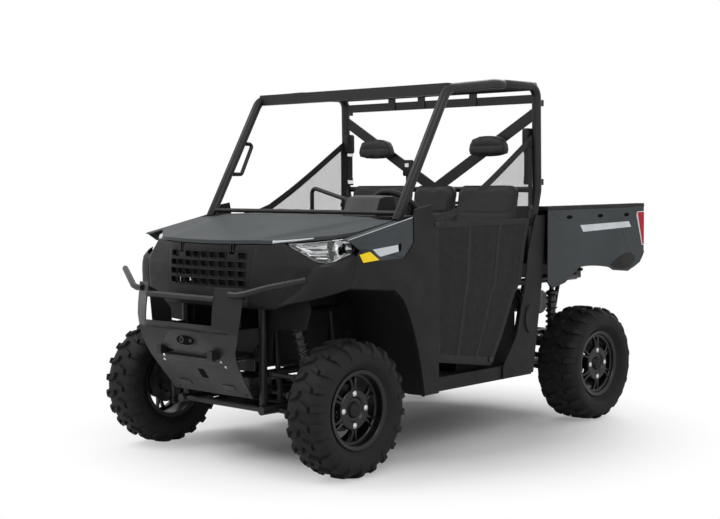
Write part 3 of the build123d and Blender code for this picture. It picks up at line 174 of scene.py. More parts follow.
def make_paint():
    """Dark grey metallic paint: fine flakes under a thin clear coat."""
    s = Surface("metallic_paint")
    flakes = s.cells(2600.0)
    cloudy = s.noise(3.0, 4.0)
    both = s.math("ADD", s.math("MULTIPLY", flakes, 0.5), s.math("MULTIPLY", cloudy, 0.5))
    s.colours(both, (0.038, 0.043, 0.046), (0.066, 0.074, 0.078))
    s.feed(Metallic=0.1, Roughness=s.spread(flakes, 0.48, 0.62), Specular_IOR_Level=0.1, Coat_Weight=0.02,
           Coat_Roughness=0.12)
    s.bump(s.noise(260.0, 1.0), 0.03, 0.0003)
    return s.mat


def make_rubber():
    s = Surface("tyre_rubber")
    cloudy = s.noise(9.0, 8.0)
    s.colours(cloudy, tone(0.006), tone(0.012, (1.03, 1.0, 0.97)))
    s.feed(Roughness=s.spread(cloudy, 0.6, 0.8), Specular_IOR_Level=0.22)
    s.bump(s.noise(700.0, 3.0), 0.35, 0.0008)
    s.bump(s.noise(60.0, 3.0), 0.15, 0.002)
    return s.mat


def make_vinyl():
    """Grained seat vinyl: small leather cells with soft valleys."""
    s = Surface("seat_vinyl")
    grain = s.cells(520.0, "DISTANCE_TO_EDGE")
    s.colours(s.noise(8.0, 6.0), tone(0.010), tone(0.017))
    s.feed(Roughness=s.spread(grain, 0.62, 0.46, 0.0, 0.3), Specular_IOR_Level=0.3, Sheen_Weight=0.06)
    s.bump(s.spread(grain, 0.0, 1.0, 0.0, 0.12), 0.45, 0.0007)
    s.bump(s.noise(38.0, 3.0), 0.12, 0.002)
    return s.mat


def woven(name, pitch, dark, light, open_share=0.0, rough=0.75):
    """Woven threads in the Y-Z plane. open_share is how high a thread's wave stands at the edge of a hole."""
    s = Surface(name)
    axes = s.axes()
    waves = [s.wave(axes[1], pitch), s.wave(axes[2], pitch)]
    threads = s.math("MAXIMUM", *waves)
    s.colours(s.spread(s.math("MULTIPLY", *waves), 0.0, 1.0, -1.0, 1.0), tone(dark), tone(light))
    s.feed(Roughness=s.spread(s.noise(30.0), rough - 0.08, rough + 0.08), Specular_IOR_Level=0.2, Sheen_Weight=0.05)
    s.bump(s.spread(threads, 0.0, 1.0, -1.0, 1.0), 0.5, 0.0006)
    if open_share:
        s.feed(Alpha=s.math("GREATER_THAN", threads, open_share))
    return s.mat


def make_lens(name, colour, transmission, rough, shine=0.5):
    """Moulded lens with faint flutes."""
    s = Surface(name)
    s.colours(s.noise(20.0), tuple(0.92 * c for c in colour), colour)
    s.feed(Transmission_Weight=transmission, Roughness=rough, IOR=1.45, Specular_IOR_Level=shine)
    s.bump(s.spread(s.wave(s.axes()[2], 0.014), 0.0, 1.0, -1.0, 1.0), 0.08, 0.0005)
    return s.mat


def make_floor():
    """Pale floor that runs out to pure white where the camera looks past the vehicle."""
    s = Surface("studio_floor")
    s.colours(s.noise(1.5, 3.0), tone(0.90), tone(0.94))
    s.feed(Roughness=0.6, Specular_IOR_Level=0.2)
    reach = s.node("VectorMath", {0: s.where}, operation="LENGTH").outputs["Value"]
    far = s.spread(reach, 0.0, 1.0, *FLOOR_CLEAR)
    seen = s.node("LightPath", {}).outputs["Is Camera Ray"]
    both = s.node("MixShader", {"Fac": s.math("MULTIPLY", far, seen), 1: s.bsdf.outputs["BSDF"],
                                2: s.node("Emission", {}).outputs["Emission"]})
    s.links.new(both.outputs["Shader"], s.nodes["Material Output"].inputs["Surface"])
    return s.mat


paint = make_paint()
rubber = make_rubber()
vinyl = make_vinyl()
net_mesh = woven("net_mesh", 0.0042, 0.02, 0.035, open_share=0.62)
screen_mesh = woven("screen_mesh", 0.009, 0.010, 0.016, open_share=-0.35)
net_cloth = woven("net_cloth", 0.003, 0.010, 0.015, rough=0.8)
webbing = woven("belt_webbing", 0.0035, 0.014, 0.024)
clear_lens = make_lens("clear_lens", (0.95, 0.97, 0.98), 1.0, 0.03)
red_lens = make_lens("red_lens", (0.48, 0.002, 0.018), 0.05, 0.3, 0.15)
amber_lens = make_lens("amber_lens", (0.95, 0.68, 0.015), 0.05, 0.25, 0.2)
floor_finish = make_floor()

FINISH = {"frame_coat": powder_coat, "black_plastic": plastic, "paint": paint, "lamp_glass": clear_lens,
          "red_lens": red_lens, "seat_vinyl": vinyl, "net_fabric": net_cloth, "belt_webbing": webbing,
          "cast_alloy": alloy, "dark_steel": dark_steel, "muffler_steel": exhaust_steel,
          "rim_black": rim_gloss, "tyre_rubber": rubber}


# ---------------------------------------------------------------- mesh helpers
def new_object(name, data):
    obj = bpy.data.objects.new(name, data)
    scene.collection.objects.link(obj)
    return obj


def new_mesh(name, verts, faces):
    """A mesh whose faces all look outwards."""
    mesh = bpy.data.meshes.new(name)
    mesh.from_pydata([tuple(v) for v in verts], [], faces)
    work = bmesh.new()
    work.from_mesh(mesh)
    bmesh.ops.recalc_face_normals(work, faces=work.faces)
    work.to_mesh(mesh)
    work.free()
    return mesh


def rounded(obj, width, segments=2, angle=32.0):
    """Small rounds along sharp edges."""
    made = obj.modifiers.new("rounds", "BEVEL")
    made.width = width
    made.segments = segments
    made.limit_method = "ANGLE"
    made.angle_limit = radians(angle)
    made.harden_normals = True


def thickened(obj, thickness):
    made = obj.modifiers.new("thickness", "SOLIDIFY")
    made.thickness = thickness
    made.offset = 0.0


def piece(name, verts, faces, mat, body, bevel=0.0, angle=35.0):
    """A new mesh piece that rides on a body."""
    obj = new_object(name, new_mesh(name, verts, faces))
    obj.data.materials.append(mat)
    for face in obj.data.polygons:
        face.use_smooth = True
    obj.data.set_sharp_from_angle(angle=radians(angle))
    if bevel:
        rounded(obj, bevel)
    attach(obj, body)
    return obj


def circle(centre, radius, across, up, sides):
    return [centre + radius * (cos(2 * pi * k / sides) * across + sin(2 * pi * k / sides) * up)
            for k in range(sides)]


def square_to(axis):
    """Two directions square to an axis."""
    helper = Vector((0, 0, 1)) if abs(axis.z) < 0.9 else Vector((0, 1, 0))
    across = axis.cross(helper).normalized()
    return across, across.cross(axis)


class Build:
    """Collects vertices and faces of one piece, drawn in the given unit."""

    def __init__(self, unit=MM):
        self.verts, self.faces, self.unit = [], [], unit

    def add(self, verts, faces):
        start = len(self.verts)
        self.verts += [Vector(v) * self.unit for v in verts]
        self.faces += [tuple(start + i for i in face) for face in faces]

    def skin(self, rings, ends=True, closed=True):
        """Join rings of equally many points by quads."""
        n = len(rings[0])
        faces = [(r * n + i, r * n + (i + 1) % n, (r + 1) * n + (i + 1) % n, (r + 1) * n + i)
                 for r in range(len(rings) - 1) for i in range(n if closed else n - 1)]
        if ends:
            faces += [tuple(range(n)), tuple(range((len(rings) - 1) * n, len(rings) * n))]
        self.add([p for ring in rings for p in ring], faces)

    def tube(self, rings):
        self.skin(rings, ends=False)

    def sheet(self, rows):
        self.skin(rows, ends=False, closed=False)

    def prism(self, outline, place, low, high):
        """Outline of pairs, placed by place(u, v, w) with w from low to high."""
        self.skin([[place(u, v, w) for u, v in outline] for w in (low, high)])

    def rod(self, route, radius, sides=12):
        """Round rod along a route of points."""
        rings = []
        route = [Vector(p) for p in route]
        for i, point in enumerate(route):
            ahead = (route[min(i + 1, len(route) - 1)] - route[max(i - 1, 0)]).normalized()
            across, up = square_to(ahead)
            rings.append(circle(point, radius, across, up.normalized(), sides))
        self.skin(rings)

    def turned(self, centre, axis, profile, sides=24):
        """Rings of (offset, radius) along an axis through a centre."""
        axis = Vector(axis).normalized()
        self.skin([circle(Vector(centre) + axis * s, r, *square_to(axis), sides) for s, r in profile],
                  ends=profile[0] != profile[-1])

    def done(self, name, mat, slot, body="chassis", bevel=0.0, angle=35.0):
        return piece(name, self.verts, self.faces, mat, body, bevel, angle)


def flank(way):
    """Placer of (y, z) outlines at a distance to one side."""
    return lambda y, z, w: (way * w, y, z)


def facing(x, z, w):
    """Placer of (x, z) outlines that face forwards or backwards."""
    return x, w, z


def cut_corners(pairs):
    return [tuple(near * p + (1 - near) * q for p, q in zip(a, b)) for a, b in pairs for near in (0.75, 0.25)]


def smooth_line(points, rounds=2):
    """Cut the corners of an open line of pairs."""
    for _ in range(rounds):
        points = [points[0], *cut_corners(zip(points, points[1:])), points[-1]]
    return points


def smooth_closed(points, rounds=2):
    """Cut the corners of a closed outline."""
    for _ in range(rounds):
        points = cut_corners(zip(points, points[1:] + points[:1]))
    return points


def rounded_box(half_w, half_h, radius, steps=3, middle=(0.0, 0.0)):
    """Corners of a rounded rectangle."""
    points = []
    for sx, sz, start in ((1, 1, 0), (-1, 1, 90), (-1, -1, 180), (1, -1, 270)):
        for k in range(steps + 1):
            turn = radians(start + 90 * k / steps)
            points.append((middle[0] + (sx * (half_w - radius) + radius * cos(turn)),
                           middle[1] + (sz * (half_h - radius) + radius * sin(turn))))
    return points


def oval(cx, cz, half_w, half_h, count=24):
    return [(cx + half_w * cos(2 * pi * k / count), cz + half_h * sin(2 * pi * k / count)) for k in range(count)]


def between(points, value):
    """Read an open line of pairs at a value."""
    if value <= points[0][0]:
        return points[0][1]
    for (a, u), (b, v) in zip(points, points[1:]):
        if value <= b:
            return u + (v - u) * (value - a) / (b - a)
    return points[-1][1]


def clamp(value, low, high):
    return min(max(value, low), high)


def step_up(value, low, high):
    """Smooth step from 0 to 1."""
    t = clamp((value - low) / (high - low), 0.0, 1.0)
    return t * t * (3 - 2 * t)


def on_side(way, points):
    """Points of one flank, mirrored for the other."""
    return [(way * x, y, z) for x, y, z in points]


# ---------------------------------------------------------------- carried-over solids
ROUND_EDGE = {"hood": 0.003, "front_fascia": 0.003, "grille": 0.0012}
# the radiator behind the grille is painted near-black as shade
NODE_FINISH = {"radiator": painted_shade_black}
USUAL_ROUND = 0.0015

for name, obj in frame["nodes"].items():
    obj.data.materials.clear()
    obj.data.materials.append(NODE_FINISH.get(name, FINISH[SLOT[name]]))
    obj.modifiers.new("weld", "WELD").merge_threshold = 0.00002
    rounded(obj, ROUND_EDGE.get(name, USUAL_ROUND))


# ---------------------------------------------------------------- tyres
LUG_DEPTH = 0.016
PITCHES = 22
AROUND = 88                    # facets round a tyre's carcass
NARROW = 0.12                  # half width that tells front tyres from rear ones
# lug corners as (distance from the middle across the tread, share of a pitch)
CENTRE_LUG = [(0.005, -0.36), (0.056, -0.10), (0.060, 0.24), (0.012, 0.02)]
SHOULDER_LUG = [(0.068, -0.20), (0.150, -0.26), (0.150, 0.12), (0.070, 0.22)]
SHOULDER_SHORT = 0.020         # every other shoulder lug ends this much earlier
SHOULDER_FROM = 0.095          # beyond this distance the lugs get lower
LUG_DRAFT = (0.0024, 0.045)    # how far a lug's top draws in: across the tread, and round it as a share of a pitch
TYRE_LIMIT = 0.3299            # no lug reaches past this radius


def make_tyre(corner):
    node = f"tyre_{corner}"
    low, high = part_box(node)
    centre = (low + high) / 2
    half, radius = (high.x - low.x) / 2, (high.z - low.z) / 2
    out = 1 if centre.x > 0 else -1
    seat = half - (0.035 if half < NARROW else 0.0475)
    contour = smooth_line([(0.0, radius - LUG_DEPTH), (half - 0.058, radius - LUG_DEPTH - 0.002),
                           (half - 0.026, radius - 0.030), (half - 0.007, 0.282), (half - 0.004, 0.256),
                           (half - 0.008, 0.224), (seat + 0.010, 0.204), (seat, 0.192), (seat, 0.1785)], 3)
    # distance along the contour, for placing the lugs
    run = [0.0]
    for a, b in zip(contour, contour[1:]):
        run.append(run[-1] + sqrt((a[0] - b[0]) ** 2 + (a[1] - b[1]) ** 2))

    def place(s, r, angle):
        return centre.x + out * s, centre.y + r * cos(angle), centre.z + r * sin(angle)

    def raised(u, by, angle, limit=1.0):
        """Point above the contour at signed distance u along it."""
        d = abs(u)
        i = min(max(k for k in range(len(run)) if run[k] <= d or k == 0), len(run) - 2)
        t = (d - run[i]) / (run[i + 1] - run[i])
        (s0, r0), (s1, r1) = contour[i], contour[i + 1]
        ds, dr = s1 - s0, r1 - r0
        length = sqrt(ds * ds + dr * dr)
        hand = 1 if u >= 0 else -1
        return place(hand * (s0 + t * ds) + hand * -dr / length * by, min(r0 + t * dr + ds / length * by, limit), angle)

    body = Build(1.0)
    section = [(-s, r) for s, r in reversed(contour[1:])] + contour
    inner = [(seat - 0.004, 0.1785), (seat - 0.004, 0.215), (half - 0.03, 0.26), (half - 0.07, 0.29)]
    section += inner + [(-s, r) for s, r in reversed(inner)]
    rings = [[place(s, r, 2 * pi * k / AROUND) for s, r in section] for k in range(AROUND)]
    body.tube(rings + [rings[0]])
    for side in SIDES:
        for number in range(PITCHES):
            add_lug(body, CENTRE_LUG, side, number, raised, 2)
            short = SHOULDER_SHORT if number % 2 else 0.0
            corners = [(u - short if u > 0.1 else u, v) for u, v in SHOULDER_LUG]
            add_lug(body, corners, side, number, raised, 5)
    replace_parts(body.done(node + "_tread", rubber, "tyre_rubber", BODY[node], angle=40.0), node)


def add_lug(body, corners, side, number, raised, rows, across=3):
    """One lug: rows of points across the tread, raised off the contour, with sloping sides."""
    (u0, a0), (u1, a1), (u2, b1), (u3, b0) = corners
    pitch = 2 * pi / PITCHES
    start = (number + (0.5 if side > 0 else 0.0)) * pitch
    base, top = [], []
    for i in range(rows + 1):
        t = i / rows
        for j in range(across + 1):
            k = j / across
            u = (u0 + (u1 - u0) * t) * (1 - k) + (u3 + (u2 - u3) * t) * k
            a = (a0 + (a1 - a0) * t) * (1 - k) + (b0 + (b1 - b0) * t) * k
            base.append(raised(side * u, -0.003, start + a * pitch))
            u += LUG_DRAFT[0] * ((i == 0) - (i == rows))
            a += LUG_DRAFT[1] * ((j == 0) - (j == across))
            depth = LUG_DEPTH - 0.0005
            if u > SHOULDER_FROM:
                depth = max(0.0035, LUG_DEPTH - 0.0125 * (u - SHOULDER_FROM) / 0.03)
            top.append(raised(side * u, depth, start + a * pitch, TYRE_LIMIT))
    w, n = across + 1, len(base)
    faces = []
    for i in range(rows):
        for q in range(i * w, i * w + across):
            faces += [(n + q, n + q + 1, n + q + w + 1, n + q + w), (q, q + w, q + w + 1, q + 1)]
    border = list(range(w)) + [i * w + across for i in range(1, rows + 1)]
    border += [rows * w + j for j in range(across - 1, -1, -1)] + [i * w for i in range(rows - 1, 0, -1)]
    faces += [(p, q, n + q, n + p) for p, q in zip(border, border[1:] + border[:1])]
    body.add(base + top, faces)


CORNERS = ("front_left", "front_right", "rear_left", "rear_right")
for corner in CORNERS:
    make_tyre(corner)


# ---------------------------------------------------------------- wheels and suspension
SPOKES = 6
NUT_CIRCLE = 76.0
FRONT_AXLE, REAR_AXLE, AXLE_Z = -1066.0, 991.0, 330.0
KINGPIN_X = 600.0
# plane of the wheel, half width of the rim, face of the spokes
WHEEL = {"front": (FRONT_AXLE, 679.0, 89.0, 735.0), "rear": (REAR_AXLE, 654.0, 101.5, 747.0)}
# one half of a split spoke: radius, distance from the middle line, width, face below the wheel's, depth
SPOKE_ROWS = [(88, 0, 24, 2, 24), (102, 1.5, 16, 1, 24), (120, 4, 14, 3, 22), (140, 9, 15, 7, 20),
              (160, 15, 21, 11, 18)]
# profiles off the spokes' face: height and radius
SPOKE_RING = [(-30, 166), (-8, 166), (-10, 156), (-14, 152), (-28, 154), (-30, 166)]
HUB_DISH = [(-26, 42), (-24, 97), (-4, 97), (0, 92), (0, 62), (-9, 54), (-9, 40), (0, 36), (0, 34), (-2, 34), (-8, 21)]
CAP = [(-12, 33.5), (0, 33.5), (2.6, 32), (3.9, 27), (2.4, 25.5), (2.4, 12), (3.4, 10), (3.4, 0.5)]
NUT = [(-4, 10.5), (0.6, 10.5), (0.6, 8.8), (2.0, 8.4), (3.6, 6), (3.9, 1)]
WASHER = [(-6, 13), (0.2, 13), (0.6, 12)]


def spoked(degrees):
    """Direction square to the axles."""
    turn = radians(degrees)
    return Vector((0, cos(turn), sin(turn)))


def make_rim(corner):
    """Deep dished rim with split spokes, and its cap, nuts and brake disc."""
    axle, hand = corner.split("_")
    way = 1 if hand == "left" else -1
    y, plane, half, face = WHEEL[axle]
    back = KINGPIN_X + 46
    centre, axis = Vector((0, y, AXLE_Z)), Vector((way, 0, 0))
    hub = centre + face * axis
    node = f"rim_{corner}"
    body = BODY[node]
    rim, cap, nuts, disc = (Build() for _ in range(4))
    outer, inner = plane + half, plane - half
    rim.turned(centre, axis, [(outer - 26, 165.5), (outer - 9, 167), (outer - 4, 171), (outer - 2, 181),
                              (outer - 0.5, 186), (outer - 0.5, 189), (outer - 3, 190), (outer - 8, 189.4),
                              (outer - 9.5, 179), (outer - 14, 177.8), (inner + 14, 177.8), (inner + 9.5, 179),
                              (inner + 8, 189.4), (inner, 189.4), (inner, 168), (inner + 20, 165),
                              (outer - 26, 165.5)], 96)
    # ring that joins the spokes to the barrel, and the hub
    rim.turned(hub, axis, SPOKE_RING, 96)
    root = back - face
    rim.turned(hub, axis, [(root, 21), (root, 42)] + HUB_DISH + [(root, 21)], 48)
    for number in range(SPOKES):
        turn = 90 + number * 360 / SPOKES
        for lean in SIDES:
            side = spoked(turn + 90) * lean
            rings = []
            for r, near, wide, below, deep in SPOKE_ROWS:
                top = face - below
                rings.append([centre + spoked(turn) * r + side * a + axis * x for a, x in
                              ((near, top - deep), (near, top - 3), (near + wide * 0.25, top),
                               (near + wide * 0.8, top - 1), (near + wide, top - 5), (near + wide, top - deep))])
            rim.skin(rings)
    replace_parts(rim.done(node + "_wheel", rim_gloss, "rim_black", body, 0.0012, 38.0), node)
    cap.turned(hub, axis, CAP, 40)
    cap.done(node + "_cap", plastic, "rim_black", body)
    for k in range(4):
        spot = hub + NUT_CIRCLE * spoked(90 * k)
        nuts.turned(spot, axis, NUT, 6)
        nuts.turned(spot, axis, WASHER)
    nuts.done(node + "_nuts", bright_steel, "cast_alloy", body, 0.0004)
    low, high = back + 4, back + 9
    disc.turned(centre, axis, [(low, 62), (low, 111), (low + 1, 112), (high - 1, 112), (high, 111), (high, 62),
                               (low, 62)], 60)
    for k in range(6):
        disc.turned(centre + 52 * spoked(60 * k), axis, [(low + 0.4, 14), (high - 0.4, 14)], 12)
    disc.done(node + "_disc", dark_steel, "dark_steel", body)


for corner in CORNERS:
    make_rim(corner)


def helix(build, foot, top, radius, wire, turns, sides=8, steps=20):
    """Coil spring between two points, with flat closed ends."""
    axis = (top - foot).normalized()
    across = axis.cross(Vector((0, 1, 0))).normalized()
    up = axis.cross(across)
    count = int(turns * steps)
    rings = []
    for i in range(count + 1):
        share = i / count
        rise = share + 0.5 / turns * sin(2 * pi * share) / pi
        turn = 2 * pi * turns * share
        out = cos(turn) * across + sin(turn) * up
        rings.append(circle(foot + (top - foot) * rise + out * radius, wire, out, axis, sides))
    build.skin(rings)


SHOCKS = (((375, FRONT_AXLE - 41, 745), (446, FRONT_AXLE + 35, 305)),
          ((395, REAR_AXLE + 41, 772), (446, REAR_AXLE - 35, 305)))
# share of the run and radius
SHOCK_PROFILE = [(0, 11), (0.1, 11), (0.1, 33), (0.12, 36), (0.14, 36), (0.15, 20), (0.45, 20), (0.46, 24),
                 (0.86, 24), (0.87, 36), (0.9, 36), (0.91, 30), (0.93, 14), (1, 13)]


def make_shocks():
    body, springs = Build(), Build()
    for ends in SHOCKS:
        for way in SIDES:
            b, a = (Vector(p) for p in on_side(way, ends))
            run = (b - a).length
            axis = (b - a) / run
            body.turned(a, axis, [(run * share, r) for share, r in SHOCK_PROFILE], 32)
            for end in (a, b):
                body.turned(end, (0, 1, 0), [(-16, 8), (-16, 13.6), (-13, 14), (13, 14), (16, 13.6), (16, 8)])
            helix(springs, a + axis * run * 0.155, a + axis * run * 0.855, 31, 5.2, 9.5)
    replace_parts(body.done("shock_bodies", dark_steel, "dark_steel"), "shocks")
    springs.done("shock_springs", dark_steel, "dark_steel")


make_shocks()


def bellows(start, ridge, valley, ribs, length):
    """Profile of a ribbed boot, tapering from its start."""
    rows = [(start, valley * 0.9), (start + 5, valley)]
    step = (length - 12) / ribs
    for k in range(ribs):
        taper = 1 - 0.28 * k / ribs
        at = start + 6 + k * step
        rows += [(at, valley * taper), (at + step * 0.5, ridge * taper), (at + step * 0.95, valley * taper)]
    return rows + [(start + length - 5, valley * 0.66), (start + length, valley * 0.6)]


SHAFT_Z = 360                  # height of the shafts' inner ends
BOOT_LENGTH = 58


def make_half_shafts():
    rods, boots = Build(), Build()
    for axle, inner, end in ((FRONT_AXLE, 95, 564), (REAR_AXLE, 135, 582.7)):
        for way in SIDES:
            rods.rod([(way * (inner + 50), axle, SHAFT_Z), (way * (end - 40), axle, AXLE_Z)], 11.5, 16)
            joints = ((inner, SHAFT_Z, way, 0.5), (end, AXLE_Z, -way, 0))
            for x, z, out, start in joints:
                rods.turned((way * x, axle, z), (out, 0, 0), [(start, 20), (start, 33.5), (14, 33.5), (16, 30)], 28)
            for x, z, out, _ in joints:
                boots.turned((way * x, axle, z), (out, 0, 0), bellows(13, 33, 26, 6, BOOT_LENGTH), 28)
    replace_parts(rods.done("drive_shafts", dark_steel, "dark_steel"), "half_shafts")
    boots.done("shaft_boots", rubber, "tyre_rubber", angle=60.0)


make_half_shafts()


# ---------------------------------------------------------------- hood and nose
HOOD_FRONT = [(0, -1350), (100, -1345.8), (200, -1333.4), (300, -1312.6), (398, -1284), (520, -1186),
              (630, -1098), (668, -1038), (692, -1000)]
HOOD_REAR = -742.0
HOOD_HALF = 692
HOOD_COLUMNS = [0, 40, 80, 120, 160, 200, 240, 280, 310, 330, 350, 370, 398, 420, 445, 470, 500, 520, 545, 570, 600,
                630, 650, 668, 680, HOOD_HALF]
HOOD_SHARES = [0, 0.02, 0.06, 0.12, 0.2, 0.3, 0.4, 0.5, 0.6, 0.7, 0.8, 0.88, 0.94, 0.98, 1.0]
HOOD_RIM = ((0.0, 4), (1.0, 17.5), (5.0, 17.5), (6.0, 6))   # turned-down edge: inwards, down
STRIPE_FROM, STRIPE_TO = 408, 560
HOOD_PIN = (186, -1326, 1066)  # middle of the left hinge
HOOD_Z, HOOD_SLOPE, HOOD_CROWN = 1120.0, 0.18, 18     # height at the front, rise per mm, fall to the sides
CREASE_FRONT, CREASE_REAR = (330, -1290), (560, -750)  # distance from the middle, y
FIELD_HEIGHT, DIP_DEPTH = 7, 3.5
NOSE_ROWS = {800.0: [(0, -1345), (300, -1332), (470, -1302), (640, -1205), (712, -1090)],
             1000.0: [(0, -1352), (320, -1318), (540, -1262), (694, -1150), (726, -1060)],
             1160.0: [(0, -1338), (330, -1290), (430, -1250), (640, -1085), (694, -1000)]}


def hood_top(x, y):
    """Height of the hood: a sloping crown with a raised middle field between two creases."""
    (x0, y0), (x1, y1) = CREASE_FRONT, CREASE_REAR
    crease = x0 + (x1 - x0) * (y - y0) / (y1 - y0)
    field = 1 - step_up(abs(x), crease - 8, crease + 26)
    dip = 1 - step_up(abs(x), 120, crease - 60)
    front = HOOD_FRONT[0][1]
    return (HOOD_Z + HOOD_SLOPE * (y - front) - HOOD_CROWN * (x / 760) ** 2
            - FIELD_HEIGHT * (1 - field) * step_up(y, front, -1200)
            - DIP_DEPTH * dip * step_up(y, -1330, -1230) * (1 - step_up(y, -860, -780)))


def make_hood():
    hood, stripe, lugs = Build(), Build(), Build()
    top = []
    for x in sorted({s * x for x in HOOD_COLUMNS for s in SIDES}):
        front = between(HOOD_FRONT, abs(x))
        ys = [front + (HOOD_REAR - front) * t for t in HOOD_SHARES]
        top.append([(x, y, hood_top(x, y)) for y in ys])
    hood.sheet(top)
    ring = [column[0] for column in top] + top[-1][1:] + [column[-1] for column in reversed(top[:-1])]
    ring += list(reversed(top[0][1:-1]))

    def inset(point, by, down):
        x, y, z = point
        return x * (1 - by / HOOD_HALF), y + by * (1 if y < -1000 else -1 if y > -760 else 0), z - down

    hood.tube([ring] + [[inset(p, by, down) for p in ring] for by, down in HOOD_RIM])
    hood.sheet([[inset(p, 6.0, 5.5) for p in column] for column in top])
    work = hood.done("hood_panel", paint, "paint", "hood", angle=24.0)
    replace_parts(work, "hood")
    rounded(work, 0.0022, 3, 40.0)
    for way in SIDES:
        rows = []
        for k in range(13):
            x = STRIPE_FROM + (STRIPE_TO - STRIPE_FROM) * k / 12
            y = between(HOOD_FRONT, x)
            z = hood_top(x, y) - 2.4
            rows.append([(way * (x + 0.9), y - 0.9, z), (way * (x + 0.9), y - 0.9, z - 13.5 * (1 - 0.55 * k / 12))])
        stripe.sheet(rows)
        for side in (-12, 6):
            x = way * HOOD_PIN[0] + side
            lugs.prism([(-1319, 1112), (-1334, 1112), (-1335, 1066), (-1330, 1058), (-1322, 1058), (-1317, 1066)],
                       flank(1), x, x + 6)
        lugs.turned(on_side(way, [HOOD_PIN])[0], (1, 0, 0), [(-15, 0), (-15, 4.5), (15, 4.5), (15, 0)], 12)
    thickened(stripe.done("hood_edge_stripe", silver_film, "paint", "hood"), 0.0006)
    lugs.done("hood_lugs", rim_gloss, "black_plastic", "hood", 0.0008)


make_hood()


def nose_y(x, z):
    """Outer face of the nose."""
    rows = []
    for level, row in NOSE_ROWS.items():
        (_, y0), (x1, y1) = row[0], row[1]
        here = y0 + (y1 - y0) * (x / x1) ** 2 if abs(x) <= x1 else between(row, abs(x))
        rows.append((level, here))
    return between(rows, z)


GRILLE_Z, SCREEN_BEHIND = 982, 19
GRILLE_ROWS = (-66, -22, 22, 66)
GRILLE_COLS = (-248, -186, -124, -62, 0, 62, 124, 186, 248)
# rim of an opening: half width, half height, corner radius, how far it stands proud
GRILLE_RIM = ((28, 18.5, 10, -2), (27.5, 18, 10, 3.2), (25.5, 16, 8.5, 4.4), (24, 14.5, 7.5, 2.5), (23, 13.5, 7, -9))


def make_grille():
    """Raised rims round the holes, and a fine screen behind them."""
    rims, screen = Build(), Build()
    for cx in GRILLE_COLS:
        for row in GRILLE_ROWS:
            if row == GRILLE_ROWS[-1] and abs(cx) == HOOD_PIN[0]:
                continue       # the hood's hinge sits in this place
            rims.tube([[(x, nose_y(x, z) - proud, z)
                        for x, z in rounded_box(half_w, half_h, radius, middle=(cx, GRILLE_Z + row))]
                       for half_w, half_h, radius, proud in GRILLE_RIM])
    rims.done("grille_rims", plastic, "black_plastic")
    screen.sheet([[(x, nose_y(x, z) + SCREEN_BEHIND, z) for x in range(-300, 301, 25)] for z in range(896, 1085, 21)])
    screen.done("grille_screen", screen_mesh, "black_plastic")


make_grille()


# ---------------------------------------------------------------- lamps
LAMP_CENTRE = (560.0, -1130.0)
LAMP_TURN = radians(48.0)
LAMP_EDGE = [(-150, 1107), (-100, 1078), (-40, 1046), (6, 1024), (58, 1019), (110, 1040), (150, 1057), (184, 1072),
             (176, 1112), (150, 1132), (100, 1126), (40, 1120), (-30, 1113), (-90, 1109)]
LAMP_MIDDLE = (40.0, 1080.0)
# loops of (share of the outline, depth under the nose's face)
LENS_LOOPS = ((0.04, 0.3), (0.3, 0.3), (0.6, 0.3), (0.85, 0.3), (0.97, 0.4), (0.985, 2.0), (0.97, 2.8), (0.85, 2.8),
              (0.6, 2.8), (0.3, 2.8), (0.04, 2.8))
BOWL_LOOPS = ((1.0, 3.2), (0.965, 3.2), (0.94, 12), (0.88, 26), (0.72, 38), (0.5, 46), (0.25, 50), (0.04, 51))


def make_headlights():
    solid = frame["nodes"]["headlights"].data
    tree = BVHTree.FromPolygons([v.co.copy() for v in solid.vertices], [tuple(p.vertices) for p in solid.polygons])
    lens, bowl, fins, lamps, glow = (Build() for _ in range(5))
    edge = smooth_closed(LAMP_EDGE, 1)
    mid_a, mid_z = LAMP_MIDDLE
    for way in SIDES:
        outward = Vector((way * cos(LAMP_TURN), -sin(LAMP_TURN), 0))
        along = Vector((way * sin(LAMP_TURN), cos(LAMP_TURN), 0))
        centre = Vector((way * LAMP_CENTRE[0], LAMP_CENTRE[1], 0))

        def skin(a, z, sink):
            """Point under the solid's outer face; off its edge, the nearest one towards the lamp's middle."""
            hit = tree.ray_cast((centre + along * a + Vector((0, 0, z)) + outward * 200) * MM, -outward)[0]
            if hit is None:
                return skin(a + (mid_a - a) * 0.06, z + (mid_z - z) * 0.06, sink)
            return hit / MM - outward * sink

        def loops(rows):
            return [[skin(mid_a + (a - mid_a) * share, mid_z + (z - mid_z) * share, sink) for a, z in edge]
                    for share, sink in rows]

        lens.skin(loops(LENS_LOOPS))
        bowl.tube(loops(BOWL_LOOPS))
        for z, start, stop, deep in ((1088, -84, 36, 16), (1072, -58, 40, 20), (1056, -30, 44, 24), (1041, -4, 50, 26)):
            rows = []
            for k in range(9):
                a, near = start + (stop - start) * k / 8, 6 + 1.2 * k
                rows.append([skin(a, z + 2.2, near), skin(a, z - 2.2, near), skin(a, z - 2.2, deep + 10),
                             skin(a, z + 2.2, deep + 10)])
            fins.skin(rows)
        for a, z, radius in ((66, 1092, 19), (116, 1096, 17)):
            base = skin(a, z, 34)
            lamps.turned(base, outward, [(-14, 2), (-14, radius), (14, radius + 1.5), (17, radius + 1),
                                         (17, radius - 2), (6, radius - 4), (2, 3)], 32)
            glow.turned(base, outward, [(3, radius - 4.5), (9, radius - 6), (13, radius * 0.45), (14, 1)], 28)
    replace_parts(lens.done("headlight_lenses", clear_lens, "lamp_glass"), "headlights")
    bowl.done("headlight_reflectors", chrome, "lamp_glass")
    fins.done("headlight_fins", chrome, "lamp_glass", bevel=0.0008)
    lamps.done("headlight_cups", rim_gloss, "lamp_glass")
    glow.done("headlight_bulbs", clear_lens, "lamp_glass")


make_headlights()


